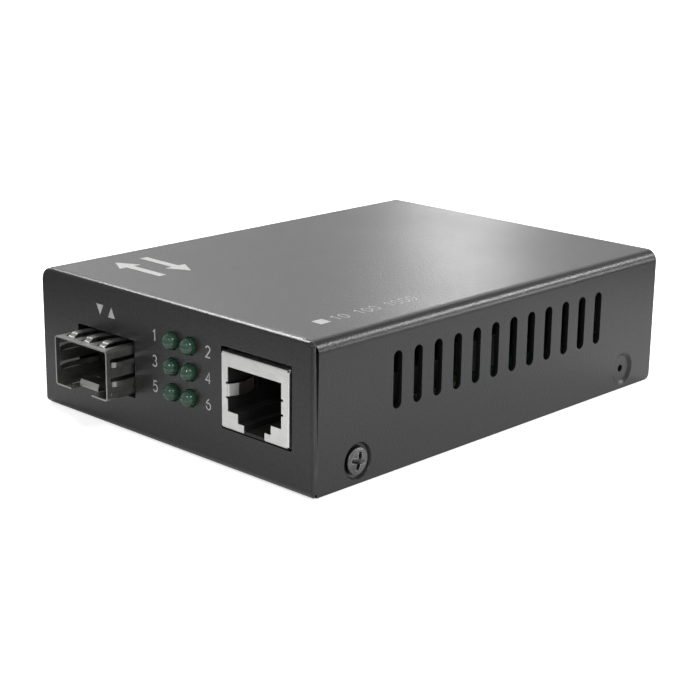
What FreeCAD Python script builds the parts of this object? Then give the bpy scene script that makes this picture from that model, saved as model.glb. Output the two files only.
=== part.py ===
import FreeCAD, Part
import math
import os

# Fibre media converter: a small folded-steel box with an SFP cage, six indicator lamps and
# one RJ45 port on its front panel, and a DC inlet at the back.
# Millimetres. X is the width (right seen from the front), Y runs from front to back, Z is up.
# The functions work with Y = 0 on the outer face of the front panel and Z = 0 under the floor.

# Case
WIDTH = 70.0
HEIGHT = 26.0
DEPTH = 94.0
SHEET = 1.0                  # steel sheet of the tray and the cover
TRAY_BEND = 0.4              # inside radius of the tray's folds
COVER_BEND = 1.2             # inside radius of the cover's two long folds
FRONT_TOP_LEFT = 2.4         # corner radii of the front panel's outline
FRONT_TOP_RIGHT = 0.7
FRONT_LOWER_LEFT = 1.2
FRONT_LOWER_RIGHT = 0.6
FRONT_EDGE_ROUND = 0.45      # coated, rounded edges of the front panel
SEAM = 0.15                  # gap between the front panel and the cover at their foot
SEAM_TAPER = 0.3             # how much wider the gap is near the top of the sides
SEAM_TOP_Z = 24.4
SIDE_FIT = 0.1               # gap between the cover's sides and the tray
COVER_Y = SHEET + SEAM
COVER_FOOT_Z = 0.15

# Ventilation slots in both sides of the cover
VENT_COUNT = 12
VENT_PITCH = 5.05
VENT_WIDTH = 2.1
VENT_LOW_Z = 10.95
VENT_HIGH_Z = 20.95

# Cover screws in front, locating dimples at the rear
FASTENER_Z = 4.1
FASTENER_SPREAD = 74.0       # distance from the front screw to the rear dimple
FASTENER_MID_Y = (COVER_Y + DEPTH) / 2.0
SCREW_Y = FASTENER_MID_Y - FASTENER_SPREAD / 2.0
DIMPLE_Y = FASTENER_MID_Y + FASTENER_SPREAD / 2.0
DIMPLE_R = 3.2
SCREW_HEAD_R = 2.3
SCREW_PROUD = 0.2            # rim of the head outside the cover's face
SCREW_SHANK_R = 1.05
SCREW_LENGTH = 5.0
PIN_HOLE_R = 0.7
LUG_LENGTH = 10.0
LUG_TOP_Z = 8.0

# Circuit board
BOARD_TOP_Z = 7.4
BOARD_T = 1.6
BOARD_HALF_X = 32.0
BOARD_Y0 = 2.0
BOARD_Y1 = 92.4
STANDOFF_PLACES = [(-28.5, 22.0), (28.5, 22.0), (-28.5, 74.0), (28.5, 74.0)]
STANDOFF_R = 2.6
STANDOFF_PILOT_R = 2.1
M3_MINOR_R = 1.25
M3_CLEAR_R = 1.6

# SFP cage
CAGE_X = -16.35
CAGE_HALF_X = 7.3
CAGE_Z0 = BOARD_TOP_Z
CAGE_Z1 = 16.5
CAGE_PROUD = 5.8
CAGE_REAR_Y = 42.4
CAGE_T = 0.3
CAGE_FOLD = 0.7              # outside radius of the cage's long folds
CAGE_HOLE = (-24.4, -8.57, 6.9, 17.4)      # panel opening: x0, x1, z0, z1
TOP_FINGERS_X = [CAGE_X - 4.3, CAGE_X, CAGE_X + 4.3]
SIDE_FINGERS_Z = [10.35, 13.8]
BOTTOM_FINGERS_X = [CAGE_X - 4.95, CAGE_X + 4.95]
TOP_FINGER_BOW = 0.7         # how far a finger stands out of its wall
SIDE_FINGER_BOW = 0.45
FINGER_TIP_Y = 3.4
FINGER_T = 0.24
FINGER_BEND = 0.5
TONGUE_HALF_X = 2.6
TONGUE_GAP = 0.3
TONGUE_ROOT_Y = 14.0
TONGUE_TIP_Y = -4.2
TONGUE_LIP_Z = 9.0

# RJ45 port
JACK_X = 22.15
JACK_HALF_X = 7.95
JACK_Z0 = BOARD_TOP_Z
JACK_Z1 = 20.6
JACK_PROUD = 0.4
JACK_REAR_Y = 16.0
JACK_T = 0.25
JACK_RELIEF = 0.32           # corner notches where the can's folds meet
JACK_HOLE = (13.85, 30.45, 7.1, 21.35)
PORT_HALF_X = 6.3
PORT_TOP_Z = 18.25
PORT_FLOOR_Z = 10.55
LATCH_STEP_HALF_X = 3.9
LATCH_STEP_Z = 8.95
LATCH_SLOT_HALF_X = 2.45
PORT_DEPTH = 12.6
TAB_Z0 = 13.1
TAB_Z1 = 15.2
CONTACT_PITCH = 1.02

# Indicator lamps: two columns, three rows
LED_X = [1.5, 6.0]
LED_Z = [19.5, 14.95, 10.4]
LED_R = 1.5
LED_PROUD = 0.3              # straight barrel in front of the panel, before the dome
LED_FLANGE_R = 1.9
LED_HOLE_R = 1.62
LED_LEAD_HALF = 0.65         # half the distance between a lamp's two leads

# DC inlet in the rear panel
INLET_X = 18.0
INLET_HALF_X = 4.5
INLET_HEIGHT = 11.0
INLET_LENGTH = 14.4
INLET_BORE_R = 3.2
INLET_BORE_DEPTH = 9.6
INLET_PIN_R = 1.05
INLET_FIT = 0.2

# Components on the board: x, y, half size in x and in y, height
CONVERTER_CHIP = (2.0, 40.0, 6.6, 6.6, 1.6)
POWER_CHIP = (-22.0, 54.0, 3.7, 5.1, 1.9)
REGULATOR = (2.0, 84.0, 3.2, 3.0, 2.3)
TRANSFORMER = (21.0, 34.25, 5.4, 6.25, 6.0)
INDUCTOR = (18.0, 56.0, 5.8, 5.8, 6.2)
CAPACITORS = [(-19.0, 70.0, 5.0, 15.5), (-7.0, 70.0, 5.0, 15.5), (4.0, 68.0, 4.0, 11.5)]
CAN_NECK = 0.4               # depth of a capacitor's crimped groove
LEAD_T = 0.2

FRONT_Y = (CAGE_PROUD - DEPTH) / 2.0       # puts the whole object's middle at Y = 0


def vec(x, y, z):
    return FreeCAD.Vector(x, y, z)


def place(plane, u, v, offset=0.0):
    """Point (u, v) of a drawing plane in space. Each plane's axis comes last."""
    if plane == "XZ":
        return vec(u, offset, v)
    if plane == "YZ":
        return vec(offset, u, v)
    return vec(u, v, offset)


def unit(start, end):
    length = math.hypot(end[0] - start[0], end[1] - start[1])
    return ((end[0] - start[0]) / length, (end[1] - start[1]) / length)


def outline(points, plane, offset):
    """Closed face through (u, v) or (u, v, corner radius) points."""
    edges = []
    corner_ends = []
    count = len(points)
    for i, point in enumerate(points):
        back = unit(point, points[i - 1])
        ahead = unit(point, points[(i + 1) % count])
        radius = point[2] if len(point) > 2 else 0.0
        if radius <= 0.0:
            corner_ends.append((point[:2], point[:2]))
            continue
        half = math.acos(back[0] * ahead[0] + back[1] * ahead[1]) / 2.0
        reach = radius / math.tan(half)
        first = (point[0] + back[0] * reach, point[1] + back[1] * reach)
        last = (point[0] + ahead[0] * reach, point[1] + ahead[1] * reach)
        bisector = unit((0.0, 0.0), (back[0] + ahead[0], back[1] + ahead[1]))
        inset = radius / math.sin(half) - radius
        middle = (point[0] + bisector[0] * inset, point[1] + bisector[1] * inset)
        arc = Part.Arc(place(plane, *first, offset), place(plane, *middle, offset),
                       place(plane, *last, offset))
        corner_ends.append((first, last))
        edges.append(arc.toShape())
    for i in range(count):
        start = corner_ends[i][1]
        end = corner_ends[(i + 1) % count][0]
        if math.hypot(end[0] - start[0], end[1] - start[1]) > 1e-6:
            edges.append(Part.makeLine(place(plane, *start, offset), place(plane, *end, offset)))
    return Part.Face(Part.Wire(Part.__sortEdges__(edges)))


def prism(points, plane, low, high):
    """Extrusion of an outline along its plane's axis, from low to high."""
    return outline(points, plane, low).extrude(place(plane, 0.0, 0.0, high - low))


def block(x0, x1, y0, y1, z0, z1):
    return Part.makeBox(x1 - x0, y1 - y0, z1 - z0, vec(x0, y0, z0))


def rectangle(u0, u1, v0, v1, radius=0.0):
    return [(u0, v0, radius), (u1, v0, radius), (u1, v1, radius), (u0, v1, radius)]


def obround(u, v0, v1, width):
    """Outline of a slot with round ends, standing along v."""
    return rectangle(u - width / 2.0, u + width / 2.0, v0, v1, width / 2.0 - 1e-4)


def strip(path, thickness, bend):
    """Outline of a bent sheet or wire: path is its middle line, bend its inside radius."""
    left = []
    right = []
    for i, point in enumerate(path):
        ahead = unit(point, path[i + 1]) if i + 1 < len(path) else unit(path[i - 1], point)
        back = unit(path[i - 1], point) if i > 0 else ahead
        shrink = thickness / 2.0 / (1.0 + back[0] * ahead[0] + back[1] * ahead[1])
        side = ((-back[1] - ahead[1]) * shrink, (back[0] + ahead[0]) * shrink)
        turn = back[0] * ahead[1] - back[1] * ahead[0]
        inner = bend if abs(turn) > 1e-9 else 0.0
        outer = bend + thickness if abs(turn) > 1e-9 and bend > 0.0 else 0.0
        left.append((point[0] + side[0], point[1] + side[1], inner if turn > 0 else outer))
        right.append((point[0] - side[0], point[1] - side[1], outer if turn > 0 else inner))
    return left + right[::-1]


def spun(profile, centre, axis):
    """Solid of revolution. The profile's points are (distance along axis, radius)."""
    points = [vec(radius, 0.0, along) for along, radius in profile]
    face = Part.Face(Part.makePolygon(points + [points[0]]))
    solid = face.revolve(vec(0, 0, 0), vec(0, 0, 1), 360)
    solid.Placement = FreeCAD.Placement(centre, FreeCAD.Rotation(vec(0, 0, 1), axis))
    return solid


def rod(radius, centre, axis, length):
    return Part.makeCylinder(radius, length, centre, axis)


def fuse(shapes):
    return shapes[0].multiFuse(shapes[1:]).removeSplitter()


def group(solids):
    return Part.makeCompound(solids)


def cross_recess(reach, width, depth):
    """Tapered cross-head recess, cut down from Z = 0."""
    wings = []
    for turn in (0, 90):
        top = Part.makePolygon([vec(u, v, 0.05) for u, v, _ in rectangle(-reach, reach, -width, width)]
                               + [vec(-reach, -width, 0.05)])
        foot = Part.makePolygon([vec(u * 0.35, v * 0.7, -depth) for u, v, _
                                 in rectangle(-reach, reach, -width, width)]
                                + [vec(-reach * 0.35, -width * 0.7, -depth)])
        wing = Part.makeLoft([top, foot], True)
        wing.rotate(vec(0, 0, 0), vec(0, 0, 1), turn)
        wings.append(wing)
    return fuse(wings)


# ---------------------------------------------------------------- case

def lug(y, side):
    """Upright ear folded from the floor's side edge, behind a cover fastener."""
    face_x = WIDTH / 2.0 - SHEET - SIDE_FIT
    middle = face_x - SHEET / 2.0
    path = [(middle - 3.0, SHEET / 2.0), (middle, SHEET / 2.0), (middle, LUG_TOP_Z)]
    ear = prism(strip([(side * x, z) for x, z in path], SHEET, TRAY_BEND), "XZ",
                y - LUG_LENGTH / 2.0, y + LUG_LENGTH / 2.0)
    inward = vec(-side, 0, 0)
    centre = vec(side * WIDTH / 2.0, y, FASTENER_Z)
    gap = SHEET + SIDE_FIT
    if y < DEPTH / 2.0:
        collar = spun([(gap + 0.5, 0.0), (gap + 0.5, 1.65), (3.5, 1.65), (3.5, 0.0)], centre, inward)
        ear = ear.fuse(collar)
        ear = ear.cut(spun([(gap - 0.2, 0.0), (gap - 0.2, 3.5), (1.86, 2.05), (1.86, 0.0)],
                           centre, inward))
        return ear.cut(rod(SCREW_SHANK_R, centre, inward, 6.0))
    return ear.cut(rod(3.1, centre, inward, 4.0))


def base_tray():
    """Floor, front panel and rear panel folded from one sheet, with four ears."""
    back_y = DEPTH - 0.1
    middle = SHEET / 2.0
    inner_half = WIDTH / 2.0 - SHEET - SIDE_FIT
    inner_top = HEIGHT - SHEET - SIDE_FIT
    path = [(middle, HEIGHT), (middle, middle), (back_y - middle, middle), (back_y - middle, HEIGHT)]
    tray = prism(strip(path, SHEET, TRAY_BEND), "YZ", -WIDTH / 2.0, WIDTH / 2.0)

    half = WIDTH / 2.0
    face = prism([(-half, 0.0, FRONT_LOWER_LEFT), (half, 0.0, FRONT_LOWER_RIGHT),
                  (half, HEIGHT, FRONT_TOP_RIGHT), (-half, HEIGHT, FRONT_TOP_LEFT)], "XZ", 0.0, SHEET)
    rims = [edge for edge in face.Edges if edge.BoundBox.YMax - edge.BoundBox.YMin < 1e-6]
    face = face.makeFillet(FRONT_EDGE_ROUND, rims)
    inside = prism([(-inner_half, 0.0), (inner_half, 0.0), (inner_half, inner_top, COVER_BEND + 0.1),
                    (-inner_half, inner_top, COVER_BEND + 0.1)], "XZ", SHEET - FRONT_EDGE_ROUND, DEPTH)
    tray = tray.common(face.fuse(inside))

    for x0, x1, z0, z1 in (CAGE_HOLE, JACK_HOLE):
        tray = tray.cut(prism(rectangle(x0, x1, z0, z1, 0.3), "XZ", -1.0, 3.0))
    for x in LED_X:
        for z in LED_Z:
            tray = tray.cut(rod(LED_HOLE_R, vec(x, -1.0, z), vec(0, 1, 0), 4.0))
    inlet = rectangle(INLET_X - INLET_HALF_X - INLET_FIT, INLET_X + INLET_HALF_X + INLET_FIT,
                      BOARD_TOP_Z - INLET_FIT, BOARD_TOP_Z + INLET_HEIGHT + INLET_FIT, 0.3)
    tray = tray.cut(prism(inlet, "XZ", DEPTH - 4.0, DEPTH + 1.0))
    for x, y in STANDOFF_PLACES:
        tray = tray.cut(rod(STANDOFF_PILOT_R, vec(x, y, -1.0), vec(0, 0, 1), 3.0))
    for y in (SCREW_Y, DIMPLE_Y):
        for side in (-1, 1):
            edge = side * (inner_half + 1.0)
            root = side * (inner_half - 2.5)
            relief = LUG_LENGTH / 2.0 + 0.6
            tray = tray.cut(block(min(edge, root), max(edge, root), y - relief, y + relief, -0.5, 1.5))
            tray = tray.fuse(lug(y, side))
    return tray.removeSplitter()


def front_dimple(centre, inward):
    """Pressed countersink: a dish wider than the screw's head, then the head's own seat."""
    return spun([(0.0, 3.9), (0.0, DIMPLE_R), (0.5, 2.9), (0.75, 1.9), (1.25, 1.4), (1.8, 1.4),
                 (1.8, 2.0), (SHEET, 3.3), (SHEET, 3.9)], centre, inward)


def rear_dimple(centre, inward):
    """Pressed locating dish with a small hole; it sits in the tray's rear ear."""
    return spun([(0.0, 3.9), (0.0, DIMPLE_R), (0.5, 2.5), (0.5, PIN_HOLE_R), (1.5, PIN_HOLE_R),
                 (1.5, 2.3), (SHEET, 3.0), (SHEET, 3.9)], centre, inward)


def top_cover():
    """Top and both sides folded from one sheet, with the vents and fastener dimples."""
    middle = WIDTH / 2.0 - SHEET / 2.0
    top = HEIGHT - SHEET / 2.0
    path = [(-middle, COVER_FOOT_Z), (-middle, top), (middle, top), (middle, COVER_FOOT_Z)]
    cover = prism(strip(path, SHEET, COVER_BEND), "XZ", COVER_Y, DEPTH)
    side_shape = [(COVER_Y, COVER_FOOT_Z), (DEPTH, COVER_FOOT_Z, 1.2), (DEPTH, HEIGHT), (COVER_Y, HEIGHT),
                  (COVER_Y + SEAM_TAPER, SEAM_TOP_Z)]
    cover = cover.common(prism(side_shape, "YZ", -WIDTH, WIDTH))
    first_y = (COVER_Y + DEPTH) / 2.0 - VENT_PITCH * (VENT_COUNT - 1) / 2.0
    vents = [prism(obround(first_y + i * VENT_PITCH, VENT_LOW_Z, VENT_HIGH_Z, VENT_WIDTH),
                   "YZ", -WIDTH, WIDTH) for i in range(VENT_COUNT)]
    cover = cover.cut(vents)
    for side in (-1, 1):
        inward = vec(-side, 0, 0)
        for y, dimple in ((SCREW_Y, front_dimple), (DIMPLE_Y, rear_dimple)):
            centre = vec(side * WIDTH / 2.0, y, FASTENER_Z)
            cover = cover.cut(rod(3.9, centre, inward, SHEET))
            cover = cover.fuse(dimple(centre, inward).common(
                block(-WIDTH, WIDTH, y - 5, y + 5, COVER_FOOT_Z, 9)))
    return cover.removeSplitter()


def cover_screws():
    """Two countersunk screws through the cover into the front ears."""
    screws = []
    for side in (-1, 1):
        screw = spun([(-SCREW_PROUD - 0.15, 0.0), (-SCREW_PROUD - 0.1, 1.1), (-SCREW_PROUD + 0.05, 1.9),
                      (-SCREW_PROUD + 0.2, SCREW_HEAD_R - 0.05), (0.15, SCREW_HEAD_R), (0.3, SCREW_HEAD_R),
                      (1.55, SCREW_SHANK_R), (SCREW_LENGTH - 0.4, SCREW_SHANK_R), (SCREW_LENGTH, 0.6),
                      (SCREW_LENGTH, 0.0)], vec(0, 0, 0), vec(0, 0, -1))
        recess = cross_recess(1.75, 0.4, 1.3)
        recess.rotate(vec(0, 0, 0), vec(0, 0, 1), -14)
        recess.translate(vec(0, 0, SCREW_PROUD + 0.12))
        screw = screw.cut(recess)
        screw.Placement = FreeCAD.Placement(vec(side * WIDTH / 2.0, SCREW_Y, FASTENER_Z),
                                            FreeCAD.Rotation(vec(0, 0, 1), vec(side, 0, 0)))
        screws.append(screw)
    return group(screws)


# ---------------------------------------------------------------- board and its fixings

def pcb_standoffs():
    """Threaded standoffs pressed into the floor."""
    board_foot = BOARD_TOP_Z - BOARD_T
    solids = []
    for x, y in STANDOFF_PLACES:
        solids.append(spun([(0.0, M3_MINOR_R), (0.0, STANDOFF_PILOT_R), (SHEET, STANDOFF_PILOT_R),
                            (SHEET, STANDOFF_R), (board_foot, STANDOFF_R), (board_foot, M3_MINOR_R)],
                           vec(x, y, 0.0), vec(0, 0, 1)))
    return group(solids)


def pcb_screws():
    """Pan-head screws that hold the board down."""
    solids = []
    for x, y in STANDOFF_PLACES:
        screw = spun([(-5.6, 0.0), (-5.6, M3_MINOR_R), (0.0, M3_MINOR_R), (0.0, 2.7), (1.0, 2.65),
                      (1.6, 2.1), (1.85, 1.1), (1.9, 0.0)], vec(0, 0, 0), vec(0, 0, 1))
        recess = cross_recess(1.5, 0.35, 1.1)
        recess.translate(vec(0, 0, 1.85))
        screw = screw.cut(recess)
        screw.translate(vec(x, y, BOARD_TOP_Z))
        solids.append(screw)
    return group(solids)


def cage_pin_places():
    return [(CAGE_X + side * (CAGE_HALF_X - CAGE_T / 2.0), y) for side in (-1, 1)
            for y in (6.0, 14.0, 22.0, 30.0, 38.0)]


def jack_leg_places():
    return [(JACK_X + side * (JACK_HALF_X - JACK_T / 2.0), y) for side in (-1, 1) for y in (6.0, 12.5)]


def jack_contact_x():
    return [JACK_X + (i - 3.5) * CONTACT_PITCH for i in range(8)]


def jack_riser_y(number):
    """The contacts go down into the board in two staggered rows."""
    return 13.6 + 1.2 * (number % 2)


def led_places():
    return [(x, z) for z in LED_Z for x in LED_X]


def led_drop_y(z):
    """Leads of a higher lamp go down further back."""
    return 8.6 - LED_Z.index(z) * 1.1


def led_lead_places():
    return [(x + side * LED_LEAD_HALF, led_drop_y(z)) for x, z in led_places() for side in (-1, 1)]


def main_pcb():
    """Board with a notch under the cage's latch tongue, mounting holes and pin slots."""
    foot = BOARD_TOP_Z - BOARD_T
    notch_half = TONGUE_HALF_X + 1.2
    shape = [(-BOARD_HALF_X, BOARD_Y0, 1.0), (CAGE_X - notch_half, BOARD_Y0),
             (CAGE_X - notch_half, TONGUE_ROOT_Y, 1.0), (CAGE_X + notch_half, TONGUE_ROOT_Y, 1.0),
             (CAGE_X + notch_half, BOARD_Y0), (BOARD_HALF_X, BOARD_Y0, 1.0),
             (BOARD_HALF_X, BOARD_Y1, 1.0), (-BOARD_HALF_X, BOARD_Y1, 1.0)]
    board = prism(shape, "XY", foot, BOARD_TOP_Z)
    cuts = [rod(M3_CLEAR_R, vec(x, y, 0), vec(0, 0, 1), 10.0) for x, y in STANDOFF_PLACES]
    for x, y in cage_pin_places() + jack_leg_places():
        cuts.append(block(x - 0.25, x + 0.25, y - 0.6, y + 0.6, 0.0, 10.0))
    for x, y in [(x, jack_riser_y(i)) for i, x in enumerate(jack_contact_x())] + led_lead_places():
        cuts.append(block(x - 0.25, x + 0.25, y - 0.25, y + 0.25, 0.0, 10.0))
    inlet_tail_y = DEPTH - INLET_LENGTH - 0.2
    cuts.append(block(INLET_X - 1.2, INLET_X + 1.2, inlet_tail_y - 0.3, inlet_tail_y + 0.3, 0.0, 10.0))
    return board.cut(cuts)


# ---------------------------------------------------------------- SFP cage

def cage_finger(root, tip, wall, bow):
    """Middle line of one contact finger: it rises steeply from the wall, then bows back to it."""
    return [(root, wall), (root + 0.35, wall), (root + 1.05, wall + 0.8 * bow), (root + 2.2, wall + bow),
            (tip - 2.0, wall + 0.75 * bow), (tip, wall - math.copysign(0.1, bow))]


def cage_fingers():
    """Windows and fingers of the cage's top, floor and sides."""
    mouth = -CAGE_PROUD
    windows = []
    fingers = []

    root = mouth + 1.2
    wall = CAGE_Z1 - CAGE_T / 2.0
    for x in TOP_FINGERS_X:
        windows.append(block(x - 1.4, x + 1.4, root, FINGER_TIP_Y + 0.3, CAGE_Z1 - 1, CAGE_Z1 + 1))
        path = cage_finger(root, FINGER_TIP_Y, wall, TOP_FINGER_BOW)
        fingers.append(prism(strip(path, FINGER_T, FINGER_BEND), "YZ", x - 0.75, x + 0.75))

    tip = BOARD_Y0 - 0.6
    wall = CAGE_Z0 + CAGE_T / 2.0
    for x in BOTTOM_FINGERS_X:
        windows.append(block(x - 0.85, x + 0.85, root, tip + 0.3, CAGE_Z0 - 1, CAGE_Z0 + 1))
        path = cage_finger(root, tip, wall, -SIDE_FINGER_BOW)
        fingers.append(prism(strip(path, FINGER_T, FINGER_BEND), "YZ", x - 0.55, x + 0.55))

    root = mouth + 0.8
    for side in (-1, 1):
        wall = CAGE_X + side * (CAGE_HALF_X - CAGE_T / 2.0)
        for z in SIDE_FINGERS_Z:
            windows.append(block(wall - 1, wall + 1, root, FINGER_TIP_Y + 0.3, z - 0.5, z + 1.1))
            path = cage_finger(root, FINGER_TIP_Y, wall, side * SIDE_FINGER_BOW)
            path = [(x, y) for y, x in path]
            fingers.append(prism(strip(path, FINGER_T, FINGER_BEND), "XY", z - 0.45, z + 0.45))
    return windows, fingers


def cage_tongue():
    """Latch tongue lanced from the floor, with its triangular hole and turned-up lip."""
    middle = CAGE_Z0 + CAGE_T / 2.0
    path = [(TONGUE_ROOT_Y + 0.5, middle), (8.0, middle), (TONGUE_TIP_Y, middle + 0.25),
            (TONGUE_TIP_Y + 0.5, TONGUE_LIP_Z)]
    tongue = prism(strip(path, CAGE_T, 0.2), "YZ", CAGE_X - TONGUE_HALF_X, CAGE_X + TONGUE_HALF_X)
    latch_hole = [(CAGE_X, -0.6), (CAGE_X + 1.5, 2.4), (CAGE_X - 1.5, 2.4)]
    return tongue.cut(prism(latch_hole, "XY", CAGE_Z0 - 1, CAGE_Z0 + 1.2))


def sfp_cage():
    """Pressed cage: tube with rear wall, rows of contact fingers and a latch tongue."""
    mouth = -CAGE_PROUD
    x0 = CAGE_X - CAGE_HALF_X
    x1 = CAGE_X + CAGE_HALF_X
    tube = prism(rectangle(x0, x1, CAGE_Z0, CAGE_Z1, CAGE_FOLD), "XZ", mouth, CAGE_REAR_Y)
    bore = prism(rectangle(x0 + CAGE_T, x1 - CAGE_T, CAGE_Z0 + CAGE_T, CAGE_Z1 - CAGE_T,
                           CAGE_FOLD - CAGE_T), "XZ", mouth - 1.0, CAGE_REAR_Y - CAGE_T)
    windows, fingers = cage_fingers()

    # The floor's front is cut away round the tongue, and its rear leaves room for the connector.
    gap_half = TONGUE_HALF_X + TONGUE_GAP
    windows.append(block(CAGE_X - gap_half, CAGE_X + gap_half, mouth - 1, TONGUE_ROOT_Y,
                         CAGE_Z0 - 1, CAGE_Z0 + 0.5))
    windows.append(block(CAGE_X - 6.6, CAGE_X + 6.6, 31.0, CAGE_REAR_Y + 1, CAGE_Z0 - 1, CAGE_Z0 + 0.5))
    cage = tube.cut(bore).cut(windows)

    pins = []
    for x, y in cage_pin_places():
        pins.append(block(x - CAGE_T / 2, x + CAGE_T / 2, y - 0.4, y + 0.4, 5.2, CAGE_Z0 + 1.0))
    ears = []
    for side in (-1, 1):
        edge = CAGE_X + side * CAGE_HALF_X
        ear = [(edge - side * 0.15, -4.9), (edge + side * 0.25, -4.9), (edge + side * 0.25, -3.8),
               (edge - side * 0.15, -3.8)]
        ears.append(prism(ear, "XY", CAGE_Z0 + 0.8, CAGE_Z0 + 1.4))
    return fuse([cage, cage_tongue()] + fingers + pins + ears)


def sfp_connector():
    """Host connector at the cage's back, with the slot for a module's card edge."""
    y0 = 32.4
    y1 = 41.4
    top = BOARD_TOP_Z + 5.4
    body = block(CAGE_X - 6.2, CAGE_X + 6.2, y0, y1, BOARD_TOP_Z, top)
    nose = prism([(y0, BOARD_TOP_Z + 4.4), (y0, top), (y0 + 1.0, top)], "YZ", CAGE_X - 7, CAGE_X + 7)
    slot = block(CAGE_X - 4.6, CAGE_X + 4.6, y0 - 1, y0 + 6.2, BOARD_TOP_Z + 2.2, BOARD_TOP_Z + 3.7)
    grooves = [block(CAGE_X + (i - 4.5) * 0.8 - 0.2, CAGE_X + (i - 4.5) * 0.8 + 0.2, y0 + 0.8, y0 + 6.2,
                     BOARD_TOP_Z + 1.6, BOARD_TOP_Z + 4.3) for i in range(10)]
    return body.cut([nose, slot] + grooves)


def sfp_contacts():
    """Two rows of ten contacts lying in the connector's grooves."""
    solids = []
    for i in range(10):
        x = CAGE_X + (i - 4.5) * 0.8
        for low, high, tip in ((1.6, 1.85, 2.1), (4.05, 4.3, 3.8)):
            z0 = BOARD_TOP_Z + low
            z1 = BOARD_TOP_Z + high
            crest = BOARD_TOP_Z + tip
            inner = z1 if tip < 3.0 else z0
            base = z0 if tip < 3.0 else z1
            solids.append(prism([(33.4, base), (38.6, base), (38.6, inner), (35.6, inner), (34.6, crest),
                                 (33.4, inner)], "YZ", x - 0.15, x + 0.15))
    return group(solids)


# ---------------------------------------------------------------- RJ45 port

def port_outline(floor_z):
    """Stepped opening of the port: plug body, shoulder and latch slot."""
    right = [(LATCH_SLOT_HALF_X, floor_z), (LATCH_SLOT_HALF_X, LATCH_STEP_Z),
             (LATCH_STEP_HALF_X, LATCH_STEP_Z), (LATCH_STEP_HALF_X, PORT_FLOOR_Z),
             (PORT_HALF_X, PORT_FLOOR_Z), (PORT_HALF_X, PORT_TOP_Z)]
    return [(JACK_X + u, z) for u, z in right] + [(JACK_X - u, z) for u, z in right[::-1]]


def rj45_shield():
    """Folded metal can with the stepped mouth, two side spring tabs and four legs."""
    front = -JACK_PROUD
    outer = prism(rectangle(JACK_X - JACK_HALF_X, JACK_X + JACK_HALF_X, JACK_Z0 + 0.1, JACK_Z1, 0.3), "XZ",
                  front, JACK_REAR_Y)
    rim = [edge for edge in outer.Edges if abs(edge.BoundBox.YMax - front) < 1e-6]
    outer = outer.makeFillet(0.28, rim)
    inner = block(JACK_X - JACK_HALF_X + JACK_T, JACK_X + JACK_HALF_X - JACK_T, front + JACK_T,
                  JACK_REAR_Y - JACK_T, JACK_Z0 - 1, JACK_Z1 - JACK_T)
    cuts = [inner, prism(port_outline(JACK_Z0 - 1), "XZ", front - 1, front + 1),
            block(JACK_X - 6.5, JACK_X + 6.5, JACK_REAR_Y - 1, JACK_REAR_Y + 1, JACK_Z0 - 1, 12.0)]
    for x in (JACK_X - JACK_HALF_X, JACK_X + JACK_HALF_X):
        for z in (JACK_Z0 + 0.1, JACK_Z1):
            cuts.append(block(x - JACK_RELIEF, x + JACK_RELIEF, front - 1, front + 0.6,
                              z - JACK_RELIEF, z + JACK_RELIEF))
    shield = outer.cut(cuts)
    parts = []
    for side in (-1, 1):
        edge = JACK_X + side * PORT_HALF_X
        for z in (TAB_Z0 - 0.2, TAB_Z1 + 0.2):
            shield = shield.cut(block(edge - 0.45, edge + 0.45, front - 1, front + 1, z - 0.2, z + 0.2))
        middle = front + JACK_T / 2.0
        path = [(edge + side * 0.6, middle), (edge + side * 0.05, middle), (edge - side * 0.6, 1.5),
                (edge - side * 0.6, 3.2), (edge + side * 0.3, 5.6)]
        parts.append(prism(strip(path, JACK_T, 0.1), "XY", TAB_Z0, TAB_Z1))
    for x, y in jack_leg_places():
        parts.append(block(x - JACK_T / 2, x + JACK_T / 2, y - 0.5, y + 0.5, 4.6, JACK_Z0 + 0.8))
    return fuse([shield] + parts)


def rj45_housing():
    """Moulded insert: stepped plug cavity, contact comb and grooves for the spring tabs."""
    y0 = -JACK_PROUD + JACK_T
    y1 = JACK_REAR_Y - JACK_T
    half = JACK_HALF_X - JACK_T
    body = block(JACK_X - half, JACK_X + half, y0, y1, JACK_Z0, JACK_Z1 - JACK_T)
    cuts = [prism(port_outline(JACK_Z0 + 0.5), "XZ", y0 - 1, PORT_DEPTH)]
    for side in (-1, 1):
        edge = JACK_X + side * PORT_HALF_X
        cuts.append(block(edge - 0.8, edge + 0.8, y0 - 1, 6.4, TAB_Z0 - 0.3, TAB_Z1 + 0.3))
    for x in jack_contact_x():
        cuts.append(block(x - 0.3, x + 0.3, 2.2, PORT_DEPTH, PORT_TOP_Z - 0.5, PORT_TOP_Z + 0.9))
        cuts.append(block(x - 0.3, x + 0.3, PORT_DEPTH - 0.5, y1 - 0.4, JACK_Z0 - 1, PORT_TOP_Z + 0.9))
    return body.cut(cuts)


def rj45_contacts():
    """Eight spring wires: up behind the cavity, forward over its ceiling, then back and down."""
    solids = []
    for i, x in enumerate(jack_contact_x()):
        riser = jack_riser_y(i)
        path = [(riser, 4.8), (riser, PORT_TOP_Z + 0.5), (3.2, PORT_TOP_Z + 0.5), (3.2, PORT_TOP_Z - 0.6),
                (9.8, PORT_TOP_Z - 3.2)]
        solids.append(prism(strip(path, 0.3, 0.2), "YZ", x - 0.2, x + 0.2))
    return group(solids)


# ---------------------------------------------------------------- indicator lamps

def led(x, z):
    """Three-millimetre lamp: dome, barrel and flange, lying along Y."""
    barrel = spun([(-LED_PROUD, 0.0), (-LED_PROUD, LED_R), (4.0, LED_R), (4.0, LED_FLANGE_R),
                   (5.0, LED_FLANGE_R), (5.0, 0.0)], vec(x, 0.0, z), vec(0, 1, 0))
    return barrel.fuse(Part.makeSphere(LED_R, vec(x, -LED_PROUD, z))).removeSplitter()


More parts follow.
